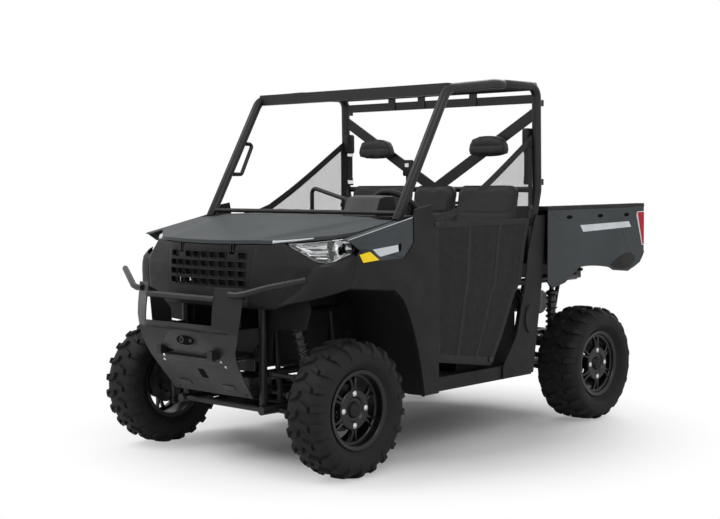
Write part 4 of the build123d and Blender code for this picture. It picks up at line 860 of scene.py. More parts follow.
# ---------------------------------------------------------------- fenders and flares
FENDER_X, FLANK_X = 747.0, 745.0
SUNK, BED_SUNK = 0.5, 0.4      # how deep the flank's plates sit in the panels
AMBER = [(-1046, 1057), (-973, 1068), (-908, 1026), (-1020, 1018)]
FENDER_STRIPE = [(-948, 1077), (-768, 1092), (-763, 1060), (-893, 1041), (-905, 1045)]
FENDER_SLOT = [(-762, 1098), (-742, 1100), (-744, 1062), (-764, 1058)]
LABEL_FIELD = [(-1040, 1098), (-1022, 1132), (-712, 1180), (-706, 1142), (-760, 1130)]
FENDER_FOOT = [(-1044, 1084), (-1010, 1052), (-906, 1019), (-726, 1024), (-721, 1034), (-1030, 1086)]
# line of the painted highlight along the crease between hood and fender
CREASE_HIGHLIGHT = [(746.5, -1116, 1127), (746.5, -960, 1159), (746.5, -800, 1192), (746.5, -657, 1221)]


def side_plate(name, outline, x, proud, mat, slot="paint", body="chassis", bevel=0.0, rounds=0):
    """Plate of (y, z) on both flanks at distance x, standing proud."""
    build = Build()
    for way in SIDES:
        build.prism(smooth_closed(outline, rounds), flank(way), x, x + proud)
    build.done(name, mat, slot, body, bevel)


side_plate("fender_stripes", FENDER_STRIPE, FENDER_X - SUNK, 1.3, silver_film, bevel=0.0003)
side_plate("side_markers", AMBER, FLANK_X, 8.5, amber_lens, "lamp_glass", bevel=0.0012)
# near-black plate that paints the shade in the fender's slot
side_plate("fender_slot_shade", FENDER_SLOT, FENDER_X - SUNK, 1.4, painted_shade_black, "black_plastic", rounds=1)
side_plate("fender_plates", LABEL_FIELD, FENDER_X - SUNK, 2.2, paint, bevel=0.0012, rounds=1)
side_plate("fender_feet", FENDER_FOOT, 741, 6, paint, bevel=0.0012)
# silver rods along the crease between hood and fender paint its highlight
glint_rods = Build()
for way in SIDES:
    glint_rods.rod(on_side(way, CREASE_HIGHLIGHT), 1.6, 8)
glint_rods.done("crease_highlight_rods", silver_film, "paint")

# wheel-arch edge, front to rear
ARCH = [(-1107, 905), (-806, 877), (-733, 824), (-659, 672), (-607, 494), (-578, 336)]
FLARE_REAR = [(-467, 336), (-466, 1004), (-518, 1280), (-640, 1262)]
FLARE_TOP = [(-654.5, 1223), (-654.5, 1096), (-723, 1025.5), (-900, 1018), (-1036, 1076), (-1052, 1056)]
FLARE_X = (744, 752)
LINER_X = (730, 400)           # outer and inner edge of the wheel well's liner
CHEEK_STEPS = 14
CHEEK = [  # nose point, corner and flare point of each row, from the arch up to the lamp
    ((470, 824), (668, -1240, 850), (752, -1107, 903)),
    ((520, 862), (694, -1230, 874), (752, -1107, 904)),
    ((560, 893), (706, -1216, 897), (752, -1107, 905)),
    ((585, 930), (738, -1200, 935), (752, -1095, 945)),
    ((595, 970), (743, -1198, 975), (752, -1080, 985)),
    ((612, 1000), (745, -1184, 1007), (752, -1066, 1025)),
    ((640, 1013), (746, -1140, 1034), (752, -1052, 1056))]


def make_flares():
    """Wheel-arch flares with a rolled lip, rounded into the corner of the nose, and their liners."""
    build = Build()
    arch = [ARCH[0]] + smooth_line(ARCH[1:], 2)
    face = FLARE_X[1]
    for way in SIDES:
        at = flank(way)
        build.prism(arch + FLARE_REAR + FLARE_TOP, at, *FLARE_X)
        lips = []
        for (y, z), roll in zip(arch, [0.0] + [5.0] * (len(arch) - 2) + [0.0]):
            lips.append([at(y - 7, z + 10, face), at(y - 4, z + 6, face + roll + 1), at(y, z, face + roll),
                         at(y + 3, z - 6, 748), at(y + 3, z - 6, LINER_X[0]), at(y - 7, z + 8, LINER_X[0])])
        build.skin(lips)
        build.skin([[at(y, z + 8, LINER_X[0]), at(y, z + 8, LINER_X[1]), at(y - 4, z, LINER_X[1]),
                     at(y - 4, z, LINER_X[0])] for y, z in arch])
        rows, inner = [], []
        for (x0, z0), corner, (bx, by, bz) in CHEEK:
            a, c, b = Vector((x0, nose_y(x0, z0) - 1, z0)), Vector(corner), Vector((bx + 0.4, by, bz))
            row = [(1 - t) ** 2 * a + 2 * t * (1 - t) * c + t * t * b
                   for t in [k / CHEEK_STEPS for k in range(CHEEK_STEPS + 1)]]
            rows.append(on_side(way, row))
            inner.append([(way * (p.x - 4 * k / CHEEK_STEPS), p.y + 6 * (1 - k / CHEEK_STEPS), p.z)
                          for k, p in enumerate(row)])
        lower = [(x, y + 5, z + 3) for x, y, z in inner[0]]
        build.sheet([inner[0]] + rows + [inner[-1], inner[-2], lower])
    work = build.done("wheel_arch_flares", plastic, "black_plastic", bevel=0.0015, angle=40.0)
    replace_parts(work, "fender_flares")


make_flares()


# ---------------------------------------------------------------- bumper
# height, half width, front of the middle, front of the outer edge
BUMPER_ROWS = [(905, 384, -1498, -1442), (860, 384, -1506, -1448), (800, 384, -1515, -1456), (745, 380, -1520, -1462),
               (728, 376, -1520, -1463), (712, 372, -1517, -1463), (698, 370, -1500, -1463), (686, 366, -1468, -1463),
               (650, 358, -1462, -1460), (600, 336, -1454, -1453), (545, 322, -1430, -1429), (460, 306, -1372, -1371),
               (395, 296, -1324, -1323), (363, 290, -1302, -1301)]
BUMPER_OPEN = 246              # half width of the window
WINDOW_ROWS, WINDOW_COLS = range(4), range(2, 8)    # cells of the plate that the window leaves out
BUMPER_HOOP = [(322, -1478, 878), (372, -1472, 876), (414, -1462, 884), (520, -1405, 916), (672, -1316, 950)]
COVER_ARCH = [(-212, 582), (-168, 648), (-98, 692), (98, 692), (168, 648), (212, 582), (120, 574), (-120, 574)]
BOLT = [(-3, 0), (-3, 8), (3.4, 8), (3.4, 5.5), (6.5, 5.5), (7.5, 4), (7.5, 0)]


def bumper_y(x, z):
    """Front of the bumper plate."""
    rows = [(row[0], between([(0, row[2]), (BUMPER_OPEN, row[2]), (row[1], row[3])], abs(x)))
            for row in reversed(BUMPER_ROWS)]
    return between(rows, z)


def on_bumper(line, out):
    return [(x, bumper_y(x, z) - out, z) for x, z in line]


def patch_on_bumper(build, outline, depth, dome=0.0):
    """Closed pad on the bumper plate, standing depth in front of it."""
    cx = sum(x for x, _ in outline) / len(outline)
    cz = sum(z for _, z in outline) / len(outline)
    build.skin([on_bumper([(cx + (x - cx) * share, cz + (z - cz) * share) for x, z in outline], out)
                for share, out in ((1.0, -3.0), (1.0, depth * 0.7), (0.95, depth), (0.6, depth + dome * 0.7),
                                   (0.2, depth + dome))])


def ring_on_bumper(build, outer, inner, proud):
    build.tube([on_bumper(line, out) for line, out in ((outer, -2.0), (outer, proud * 0.7), (inner, proud),
                                                       (inner, -2.0))])


def taper(wide, high, narrow, low):
    """Corners of an upright trapezium about the middle, from its wide upper edge."""
    return [(-wide, high), (wide, high), (narrow, low), (-narrow, low)]


def make_bumper():
    plate, bars, trim, dark, bright = (Build() for _ in range(5))
    grid = []
    for z, half, _, _ in BUMPER_ROWS:
        edge = min(BUMPER_OPEN, half - 42)
        right = [edge * 0.33, edge * 0.66, edge, (half + edge) / 2, half]
        grid.append(on_bumper([(x, z) for x in [-x for x in reversed(right)] + [0] + right], 0))
    n = len(grid[0])
    plate.add([p for row in grid for p in row],
              [(r * n + c, r * n + c + 1, (r + 1) * n + c + 1, (r + 1) * n + c)
               for r in range(len(grid) - 1) for c in range(n - 1) if r not in WINDOW_ROWS or c not in WINDOW_COLS])
    obj = plate.done("bumper_plate", powder_coat, "frame_coat", angle=30.0)
    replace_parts(obj, "front_bumper")
    thickened(obj, 0.006)
    rounded(obj, 0.0018, 2, 28.0)
    bars.rod([(-250, -1500, 853), (250, -1500, 853)], 15, 16)
    for way in SIDES:
        bars.rod(on_side(way, BUMPER_HOOP), 15.5, 16)
        bars.prism([(300, 902), (384, 902), (384, 852), (340, 846), (300, 860)],
                   lambda x, z, w: (way * x, w + 0.38 * (x - BUMPER_OPEN) - 1490, z), 4, 14)
        # arms back to the frame
        bars.prism([(-1470, 700), (-1440, 612), (-1300, 585), (-1232, 640), (-1232, 700)], flank(way), 278, 284)
        bars.prism([(-1318, 372), (-1300, 366), (-1150, 372), (-1150, 396), (-1318, 396)], flank(way), 236, 262)
    bars.done("bumper_bars", powder_coat, "frame_coat", bevel=0.001)
    patch_on_bumper(trim, smooth_closed(COVER_ARCH), 4.0, 12.0)
    # oval eye in the cover, with a round hole and a plug
    trim.tube([[facing(x, z, y) for x, z in oval(6, 640, 66 + grow, 20 + grow)]
               for y, grow in ((-1470, 10), (-1477, 10), (-1479, 6), (-1478, 3), (-1470, 2))])
    # near-black plate that paints the shade inside the oval eye
    dark.prism(oval(6, 640, 69, 23), facing, -1477.4, -1468)
    trim.turned((-24, -1478, 641), (0, 1, 0), [(-3, 9), (-3, 15), (0, 17), (6, 17), (6, 9), (-3, 9)], 20)
    trim.turned((40, -1478, 640), (0, 1, 0), [(-2, 0), (-2, 8), (0, 10), (6, 10), (6, 0)], 20)
    for way in SIDES:
        # the two near-black pads paint the shade in recesses of the plate
        for build, outline, depth in ((dark, [(130, 604), (196, 582), (172, 562), (112, 580)], 7.0),
                                      (dark, [(268, 432), (280, 430), (292, 382), (280, 384)], 3.6),
                                      (trim, [(120, 420), (205, 420), (205, 396), (120, 396)], 9.0)):
            patch_on_bumper(build, [(way * x, z) for x, z in outline], depth)
        for x, z in ((212, 548), (228, 524)):
            bright.turned((way * x, bumper_y(x, z), z), (0, -1, 0.5), BOLT, 12)
    # lip under the cover, pressed field with the tow hole, and the seat of the light strip under the window
    trim.skin([[(x, bumper_y(x, at) + out, z) for at, out, z in
                ((552, -22, 556), (552, -24, 552), (548, -22, 548), (545, 2, 543), (556, 2, 560))]
               for x in (-172, -150, -60, 60, 150, 172)])
    ring_on_bumper(trim, taper(196, 536, 168, 420), taper(184, 528, 158, 428), 5.0)
    # near-black pad that paints the shade of the tow hole
    patch_on_bumper(dark, rounded_box(26, 26, 10, 4, (20, 470)), 4.0)
    ring_on_bumper(trim, taper(226, 724, 216, 704), taper(218, 720, 210, 709), 3.0)
    trim.done("bumper_cover", grey_and_sheen_plastic, "black_plastic", bevel=0.0012, angle=40.0)
    dark.done("bumper_recess_shade", painted_shade_black, "black_plastic", bevel=0.0006)
    bright.done("bumper_bolts", bright_steel, "dark_steel")


make_bumper()


# ---------------------------------------------------------------- bed
BED_STRIPE = [(808, 1139), (1328, 1147), (1353, 1113), (838, 1100)]
BED_BAND = [(520, 1213), (1420, 1204), (1395, 1163), (640, 1168)]
BED_FACET = [(1240, 1108), (1385, 1090), (1400, 985), (1330, 975)]
BED_GUARD = [(1105, 900), (1325, 975), (1420, 925), (1322, 856), (1160, 870)]
BED_SLOTS = (697, 1014, 1298)
BED_EDGE = [(491, 829), (539, 798), (657, 819), (756, 875), (807, 904), (963, 901), (1123, 884), (1156, 864),
            (1322, 849), (1458, 896), (1500, 954)]
LIP = [(745.6, 11), (747.2, 7), (747.2, 1), (744, 0), (736, 0.5), (736, 11)]
RAIL_CAP = [(689, 1246), (689, 1250.5), (692, 1252), (742, 1252), (745, 1249), (747, 1240), (747, 1232), (744, 1230),
            (740, 1232), (740, 1246)]


def rib(build, place, middle, wide, narrow, root, rows):
    """Tapered rib: at each (along, crest) its section runs from the root over the crest."""
    build.skin([[place(middle + off, along, root if abs(off) == wide else crest)
                 for off in (-wide, -narrow, narrow, wide)] for along, crest in rows])


def make_bed():
    side_plate("bed_stripes", BED_STRIPE, FLANK_X - BED_SUNK, 1.2, silver_film, body="cargo_bed", bevel=0.0003)
    side_plate("bed_side_bands", BED_BAND, FLANK_X - BED_SUNK, 2.4, paint, body="cargo_bed", bevel=0.0015)
    slots, lips, caps, ribs = (Build() for _ in range(4))
    for way in SIDES:
        # near-black ovals that paint the shade in the slots of the bed's side
        for y in BED_SLOTS:
            slots.prism(oval(y, 1187, 30, 11, 20), flank(way), FLANK_X + 1.2, FLANK_X + 2.6)
        lips.skin([[(way * x, y, z + up) for x, up in LIP] for y, z in smooth_line(BED_EDGE)])
        caps.skin([[(way * x, y, z) for x, z in RAIL_CAP] for y in (486.5, 800, 1100, 1500)])
    slots.done("bed_slot_shade", painted_shade_black, "black_plastic", "cargo_bed", 0.0006)
    side_plate("bed_side_facets", BED_FACET, FLANK_X - BED_SUNK, 1.6, paint, body="cargo_bed", bevel=0.0015, rounds=1)
    side_plate("bed_side_guards", BED_GUARD, FLANK_X - BED_SUNK, 1.4, plastic, "black_plastic", "cargo_bed", 0.001, 1)
    lips.done("bed_side_lips", paint, "paint", "cargo_bed")
    caps.done("bed_rail_caps", plastic, "black_plastic", "cargo_bed", 0.0008)
    # ribs of the load floor, the front wall and the sides
    for x in range(-600, 601, 100):
        rib(ribs, lambda x, y, z: (x, y, z), x, 22, 14, 933.5, ((560, 934.5), (580, 940), (1420, 940), (1445, 934.5)))
        rib(ribs, lambda x, z, y: (x, y, z), x, 22, 14, 521.5, ((975, 523), (990, 528), (1195, 528), (1210, 523)))
    for way in SIDES:
        for y in range(640, 1361, 180):
            rib(ribs, lambda y, z, x: (way * x, y, z), y, 20, 12, 689.5,
                ((955, 688), (970, 683), (1200, 683), (1215, 688)))
    ribs.done("bed_ribs", plastic, "black_plastic", "cargo_bed", 0.0015)


def make_tail_lamps():
    """Red lens with a pale inner edge and stepped flutes."""
    lens, edge, core = Build(), Build(), Build()
    for way in SIDES:
        lens.prism([(1431, 1184), (1433, 1197), (1494, 1200), (1499, 1196), (1499, 1004), (1496, 1002), (1486, 1003)],
                   flank(way), 697, 747.5)
        edge.prism([(1412, 1181), (1416, 1199), (1430, 1199), (1428, 1183), (1484, 1001), (1474, 1001)],
                   flank(way), 741, 747.2)
        for z in range(1026, 1167, 28):
            core.prism([(1498.6, z), (1500.6, z + 4), (1500.6, z + 18), (1498.6, z + 22)], flank(way), 702, 742)
    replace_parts(lens.done("tail_lamp_lenses", red_lens, "red_lens", "cargo_bed", 0.003), "tail_lights")
    edge.done("tail_lamp_edges", silver_film, "red_lens", "cargo_bed", 0.0008)
    core.done("tail_lamp_flutes", red_lens, "red_lens", "cargo_bed", 0.0006)


def make_tailgate():
    """Pressed panels, handle and inner ribs of the tailgate."""
    press, handle = Build(), Build()
    for cx, cz, half_w, half_h in ((-395, 1090, 165, 60), (395, 1090, 165, 60), (0, 1056, 200, 36)):
        outline = rounded_box(half_w, half_h, 16, 4, (cx, cz))
        inner = rounded_box(half_w - 12, half_h - 12, 10, 4, (cx, cz))
        press.tube([[facing(x, z, y) for x, z in line]
                    for line, y in ((outline, 1523), (outline, 1523.9), (inner, 1523.9), (inner, 1523.0))])
    for x in range(-540, 541, 90):
        rib(press, lambda x, z, y: (x, y, z), x, 20, 12, 1474.2, ((975, 1473), (988, 1469), (1185, 1469), (1200, 1473)))
    handle.prism(rounded_box(95, 22, 10, 4, (0, 1126)), facing, 1515, 1523.95)
    press.done("tailgate_pressings", plastic, "black_plastic", "tailgate", 0.0008)
    handle.done("tailgate_handle", rim_gloss, "black_plastic", "tailgate", 0.0015)


make_bed()
make_tail_lamps()
make_tailgate()


# ---------------------------------------------------------------- side nets
NET_X = 702.0
NET_SEAM = 1175.0              # dense cloth below, open mesh above
NET_REAR = [(420, 27), (560, 120), (779, 232), (856, 296), (1060, 336), (1261, 399), (1700, 399)]
NET_TOP = [(-440, 1225), (-282, 1243), (-129, 1322), (-17, 1384), (130, 1472), (281, 1567), (399, 1640)]
NET_FRONT = (-431, -440)       # y of the front edge at its foot and at the seam
NET_END = 399                  # y of the rear end of the upper edge
NET_LOW = (485, 420)           # height of the front and rear lower corner
NET_COLUMNS, NET_LEVELS, MESH_LEVELS = 28, 32, 10
STRAP_WIDTH = 38.0
NET_CLIPS = ((-424, 1180), (-424, 560), (380, 1250), (384, 1590), (20, 452))


def net_x(u, v):
    """Gentle billow of the stretched net."""
    return NET_X + 5.0 * sin(pi * u) * sin(pi * v) + 0.9 * sin(14 * pi * u) * sin(pi * v)


def ribbon(build, route, across, width, thick, lift=0.0):
    """Flat strap along a route, its width along a fixed direction, thickened along X."""
    rings = []
    for x, y, z in route:
        sx = 1 if x > 0 else -1
        rings.append([(x + sx * (lift + out), y + across[0] * side * width / 2, z + across[1] * side * width / 2)
                      for side, out in ((-1, 0), (-0.92, thick), (0.92, thick), (1, 0), (0.92, -0.6), (-0.92, -0.6))])
    build.skin(rings)


def make_nets():
    straps = []
    seam_y = between(NET_REAR, NET_SEAM)
    foot_y, front_end = NET_FRONT
    for way, side in NAMED_SIDES:
        cloth, mesh, edge, fit = (Build() for _ in range(4))
        rows = []
        for k in range(NET_LEVELS + 1):
            v = k / NET_LEVELS
            front_z, rear_z = (low + (NET_SEAM - low) * v for low in NET_LOW)
            front_y = foot_y + (front_end - foot_y) * v
            rear_y = between(NET_REAR, rear_z)
            rows.append([(way * net_x(i / NET_COLUMNS, v), front_y + (rear_y - front_y) * i / NET_COLUMNS,
                          front_z + (rear_z - front_z) * i / NET_COLUMNS) for i in range(NET_COLUMNS + 1)])
        cloth.sheet(rows)
        columns = []
        for i in range(NET_COLUMNS + 1):
            y = front_end + (seam_y - front_end) * i / NET_COLUMNS
            top_y = front_end + (NET_END - front_end) * i / NET_COLUMNS
            columns.append([(way * NET_X, y + (top_y - y) * k / MESH_LEVELS,
                             NET_SEAM + (between(NET_TOP, top_y) - NET_SEAM) * k / MESH_LEVELS)
                            for k in range(MESH_LEVELS + 1)])
        mesh.sheet(columns)
        lower = cloth.done("net_cloth_" + side, net_cloth, "net_fabric", angle=60.0)
        upper = mesh.done("net_mesh_" + side, net_mesh, "net_fabric", angle=60.0)
        upright = (1, 0)
        ribbon(edge, [(way * NET_X, y, z - 15) for y, z in smooth_line(NET_TOP, 1)], (-0.45, 0.89), STRAP_WIDTH, 2.2)
        ribbon(edge, [(way * NET_X, 380, z) for z in (1190, 1300, 1400, 1500, 1625)], upright, STRAP_WIDTH, 2.0, 0.3)
        ribbon(edge, [(way * NET_X, between(NET_REAR, z) - 17, z)
                      for z in (425, 490, 560, 670, 779, 856, 960, 1060, 1190)], upright, STRAP_WIDTH, 2.0, 0.3)
        ribbon(edge, [(way * NET_X, -416 - 9 * k / 8, 486 + 735 * k / 8) for k in range(9)], upright, 36.0, 2.0)
        ribbon(edge, [(way * (NET_X + 0.2), -431 + 458 * k / 8, 504 - 65 * k / 8) for k in range(9)], (0.14, 0.99),
               44.0, 2.0)
        ribbon(edge, [(way * net_x(k / 16, 0.97), -438 + (seam_y + 438) * k / 16, NET_SEAM) for k in range(17)],
               (0, 1), 30.0, 1.8, 0.4)
        for u in (0.36, 0.70):
            spots = [rows[int(NET_LEVELS * k / 12)][int(NET_COLUMNS * u)] for k in range(13)]
            ribbon(edge, [(way * net_x(u, k / 12), y, z) for k, (_, y, z) in enumerate(spots)], upright, 25.0, 1.6, 0.6)
        work = edge.done("net_straps_" + side, webbing, "net_fabric", angle=50.0)
        for spot in NET_CLIPS:
            fit.prism(rounded_box(19, 13, 4, middle=spot), flank(way), NET_X + 2.4, NET_X + 9)
        clips = fit.done("net_clips_" + side, rim_gloss, "black_plastic", bevel=0.001)
        straps.append(work)
    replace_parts(straps[0], "side_nets")


make_nets()


# ---------------------------------------------------------------- seats
SEAT_ROWS = (("driver", 212, 640), ("far", -606, -125), ("middle", -115, 202))
PAD_VOXEL, PAD_PRESSURE, PAD_FRAMES = 0.008, 4.0, 20
SEAT_CAP, HEADREST_CAP = 0.014, 0.009    # how far a pad's points may swell
SQUAB_Y, SQUAB_DEEP = 38.5, 174
BACK_FOOT, BACK_Z, BACK_TALL = 236, 700.3, 683.0
BACK_LEAN = (339.0 - 236.0) / (1372.0 - 700.3)
CHANNEL, BACK_CHANNEL = 0.012, 0.013     # half width of a sewn channel
SQUAB_Y_LIMITS, SQUAB_Z_LIMITS = (-0.1445, 0.2215), (0.7006, 0.8222)
BACK_Y_LIMITS, BACK_Z_LIMITS = (0.0004, 0.0745), (0.7008, 1.3835)    # y off the rear face
HEADREST_Y_LIMITS = (0.3425, 0.4115)
BACK_SEAMS = ((1.215, 0.009), (0.93, 0.008))   # height and depth of the level channels
HEADREST = (422, 1588)         # middle of the left headrest, x and z
HEADREST_EDGE = [(-126, -8), (-90, 54), (90, 54), (126, -8), (116, -55), (-116, -55)]


def puffed(build, cap):
    """Remesh a closed form and let it swell as cloth under pressure, no point moving more than the cap."""
    start = new_object("pad_start", new_mesh("pad_start", build.verts, build.faces))
    remesh = start.modifiers.new("remesh", "REMESH")
    remesh.mode = "VOXEL"
    remesh.voxel_size = PAD_VOXEL
    depsgraph = bpy.context.evaluated_depsgraph_get()
    mesh = bpy.data.meshes.new_from_object(start.evaluated_get(depsgraph))
    pad = new_object("pad_work", mesh)
    bpy.data.objects.remove(start)
    verts = [v.co.copy() for v in mesh.vertices]
    cloth = pad.modifiers.new("cloth", "CLOTH")
    cloth.settings.use_pressure = True
    cloth.settings.uniform_pressure_force = PAD_PRESSURE
    cloth.settings.effector_weights.gravity = 0.0
    cloth.collision_settings.use_collision = False
    cloth.point_cache.frame_start = 1
    cloth.point_cache.frame_end = PAD_FRAMES
    for frame_number in range(1, PAD_FRAMES + 1):
        scene.frame_set(frame_number)
    depsgraph = bpy.context.evaluated_depsgraph_get()
    moved = [v.co.copy() for v in pad.evaluated_get(depsgraph).data.vertices]
    scene.frame_set(1)
    steps = [b - a for a, b in zip(verts, moved)]
    verts = [a + step * min(1.0, cap / max(step.length, 1e-9)) for a, step in zip(verts, steps)]
    faces = [tuple(poly.vertices) for poly in mesh.polygons]
    bpy.data.objects.remove(pad)
    return verts, faces


def groove(value, middle, depth, half=CHANNEL):
    """Depth of a sewn channel at a distance from its middle."""
    away = abs(value - middle) / half
    return depth * (1 - away * away) ** 2 if away < 1 else 0.0


def channels(x, cx, off, depth):
    """Two channels at equal distances from a pad's middle."""
    return groove(x, (cx - off) * MM, depth) + groove(x, (cx + off) * MM, depth)


def finish_pad(name, verts, faces, seams, route, radius=0.0026):
    """The pad, and the piping laid on its surface along a closed route."""
    obj = piece(name, verts, faces, vinyl, "chassis", angle=80.0)
    smooth = obj.modifiers.new("subdivision", "SUBSURF")
    smooth.levels = smooth.render_levels = 1
    surface = BVHTree.FromPolygons([tuple(v) for v in verts], faces)
    laid = []
    for p in route + route[:1]:
        spot, normal, _, _ = surface.find_nearest(Vector([c * MM for c in p]))
        laid.append(spot + normal * radius * 0.5)
    seams.rod(laid, radius, 8)


def make_squabs():
    seams = Build(1.0)
    for name, x0, x1 in SEAT_ROWS:
        build = Build()
        cx, half = (x0 + x1) / 2, (x1 - x0) / 2 - 9
        build.skin([[(x, y, z) for x, y in
                     rounded_box(half + grow, SQUAB_DEEP + grow, 40 + grow / 2, 5, (cx, SQUAB_Y))]
                    for z, grow in ((704, -14), (709, -3), (730, 0), (775, 0), (795, -6), (804, -22))])
        verts, faces = puffed(build, SEAT_CAP)
        for v in verts:
            top = step_up(v.z, 0.755, 0.79)
            edge = clamp((0.150 - abs(v.y - SQUAB_Y * MM)) / 0.03, 0.0, 1.0) * top
            v.z -= edge * (channels(v.x, cx, half * 0.52, 0.008) + groove(v.y, 0.10, 0.007))
            v.z += 0.006 * top * (1 - ((v.x - cx * MM) / (half * MM)) ** 2)
            v.x = clamp(v.x, (x0 + 1) * MM, (x1 - 1) * MM)
            v.y = clamp(v.y, *SQUAB_Y_LIMITS)
            v.z = clamp(v.z, *SQUAB_Z_LIMITS)
        ring = rounded_box(half + 4, SQUAB_DEEP + 4, 42, 5, (cx, SQUAB_Y))
        finish_pad("squab_" + name, verts, faces, seams, [(x, y, 792) for x, y in ring])
    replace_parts(seams.done("squab_piping", webbing, "seat_vinyl"), "seat_cushions")


def back_ring(cx, half, grow, trim, radius, off):
    """Outline of a seat back with its crowned top, off the plane of its rear face."""
    ring = []
    for u, v in rounded_box(half + grow, BACK_TALL / 2 - trim + grow, radius, 6):
        drop = 10.0 * (u / half) ** 2 if v > 0 else 0.0
        height = 6 + BACK_TALL / 2 + v - drop
        ring.append((cx + u, BACK_FOOT + BACK_LEAN * height + off, BACK_Z + height))
    return ring


def make_backs():
    seams = Build(1.0)
    for name, x0, x1 in SEAT_ROWS:
        build = Build()
        cx, half = (x0 + x1) / 2, (x1 - x0) / 2 - 5
        build.skin([back_ring(cx, half, grow, 6, 46 + grow / 2, off)
                    for off, grow in ((11, -22), (16, -7), (26, 0), (52, 0), (62, -8), (66, -20))])
        verts, faces = puffed(build, SEAT_CAP)
        for v in verts:
            plane = (BACK_FOOT + BACK_LEAN * (v.z / MM - BACK_Z)) * MM
            front = 1 - step_up(v.y - plane, 0.012, 0.034)
            inner = front * clamp((half * MM - 0.03 - abs(v.x - cx * MM)) / 0.03, 0.0, 1.0)
            v.y += inner * sum(groove(v.z, height, depth, BACK_CHANNEL) for height, depth in BACK_SEAMS)
            rise = step_up(v.z, 0.95, 1.0) * (1 - step_up(v.z, 1.19, 1.21)) * front
            v.y += rise * channels(v.x, cx, half * 0.42, 0.007)
            v.y = clamp(v.y, *(plane + limit for limit in BACK_Y_LIMITS))
            v.x = clamp(v.x, (x0 + 1) * MM, (x1 - 1) * MM)
            v.z = clamp(v.z, *BACK_Z_LIMITS)
        finish_pad("seat_back_" + name, verts, faces, seams, back_ring(cx, half, 3, 6, 48, 14))
    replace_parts(seams.done("back_piping", webbing, "seat_vinyl"), "seat_backs")


def make_headrests():
    seams = Build(1.0)
    outline = smooth_closed(HEADREST_EDGE, 1)
    cx, cz = HEADREST
    for way, name in NAMED_SIDES:
        build = Build()
        build.skin([[(way * cx + u * grow, y, cz + v * grow) for u, v in outline]
                    for y, grow in ((347, 0.86), (352, 0.97), (360, 1.0), (400, 1.0), (408, 0.97))])
        verts, faces = puffed(build, HEADREST_CAP)
        for v in verts:
            v.y = clamp(v.y, *HEADREST_Y_LIMITS)
            v.y += (1 - step_up(v.y, 0.352, 0.37)) * groove(v.z, cz * MM, 0.004, 0.010)
        finish_pad("headrest_" + name, verts, faces, seams,
                   [(way * cx + u, 358, cz + v) for u, v in outline], 0.0022)
    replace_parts(seams.done("headrest_piping", webbing, "seat_vinyl"), "headrests")


make_squabs()
make_backs()
make_headrests()


# ---------------------------------------------------------------- belts
BELT_Y = 401
BUCKLE_X = -188                # latch that hangs off the brace


def make_belts():
    case, strap, metal = Build(), Build(), Build()
    for way in SIDES:
        case.skin([[(way * x, y, z) for y, z in rounded_box(30 + grow, 58 + grow, 14, 4, (402, 1622))]
                   for x, grow in ((652, -6), (654, -1), (660, 0), (682, 0), (688.5, -2), (690.5, -7))])
        case.turned((way * 654, 402, 1640), (-way, 0, 0), [(-2, 0), (-2, 17), (3, 16), (3, 8), (5, 7), (5, 0)], 18)
        ribbon(strap, [(way * 664, BELT_Y, z) for z in (1572, 1540, 1500, 1460, 1420, 1372)], (1, 0), 46.0, 1.5)
        for dy in (-17, 17):
            strap.rod([(way * 665.8, BELT_Y + dy, z) for z in (1566, 1374)], 0.6, 6)
        for build, box, z, low, high in ((metal, (27, 9, 5), 1556, 659, 662.6), (metal, (24, 13, 5), 1392, 659, 662.4),
                                         (case, (20, 8, 4), 1408, 658, 663)):
            build.prism(rounded_box(*box, middle=(BELT_Y, z)), flank(way), low, high)
    case.skin([[(x, y, z) for x, y in rounded_box(35 + grow, 13.6 + grow / 2, 6, middle=(BUCKLE_X, 397.8))]
               for z, grow in ((1424, -6), (1430, 0), (1512, 0), (1519.5, -6))])
    strap.prism([(-206, 396), (-170, 396), (-170, 399), (-206, 399)], lambda x, y, z: (x, y, z), 1374, 1446)
    metal.prism(rounded_box(15, 11, 4, middle=(BUCKLE_X, 1488)), facing, 382.5, 385)
    # buckles on short stalks between the cushions
    for x in (206.5, -120.5):
        case.prism(rounded_box(12, 34, 6, middle=(228, 850)), flank(1), x - 3.8, x + 3.8)
        strap.prism([(224, 772), (232, 772), (232, 818), (224, 818)], flank(1), x - 1.5, x + 1.5)
    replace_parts(case.done("belt_cases", plastic, "belt_webbing", bevel=0.001), "seat_belts")
    strap.done("belt_straps", webbing, "belt_webbing")
    metal.done("belt_tongues", chrome, "belt_webbing", bevel=0.0005)


make_belts()


# ---------------------------------------------------------------- dash and radiator shroud
VENTS = ((-70, 70), (130, 235), (-330, -225), (-560, -470), (500, 570))


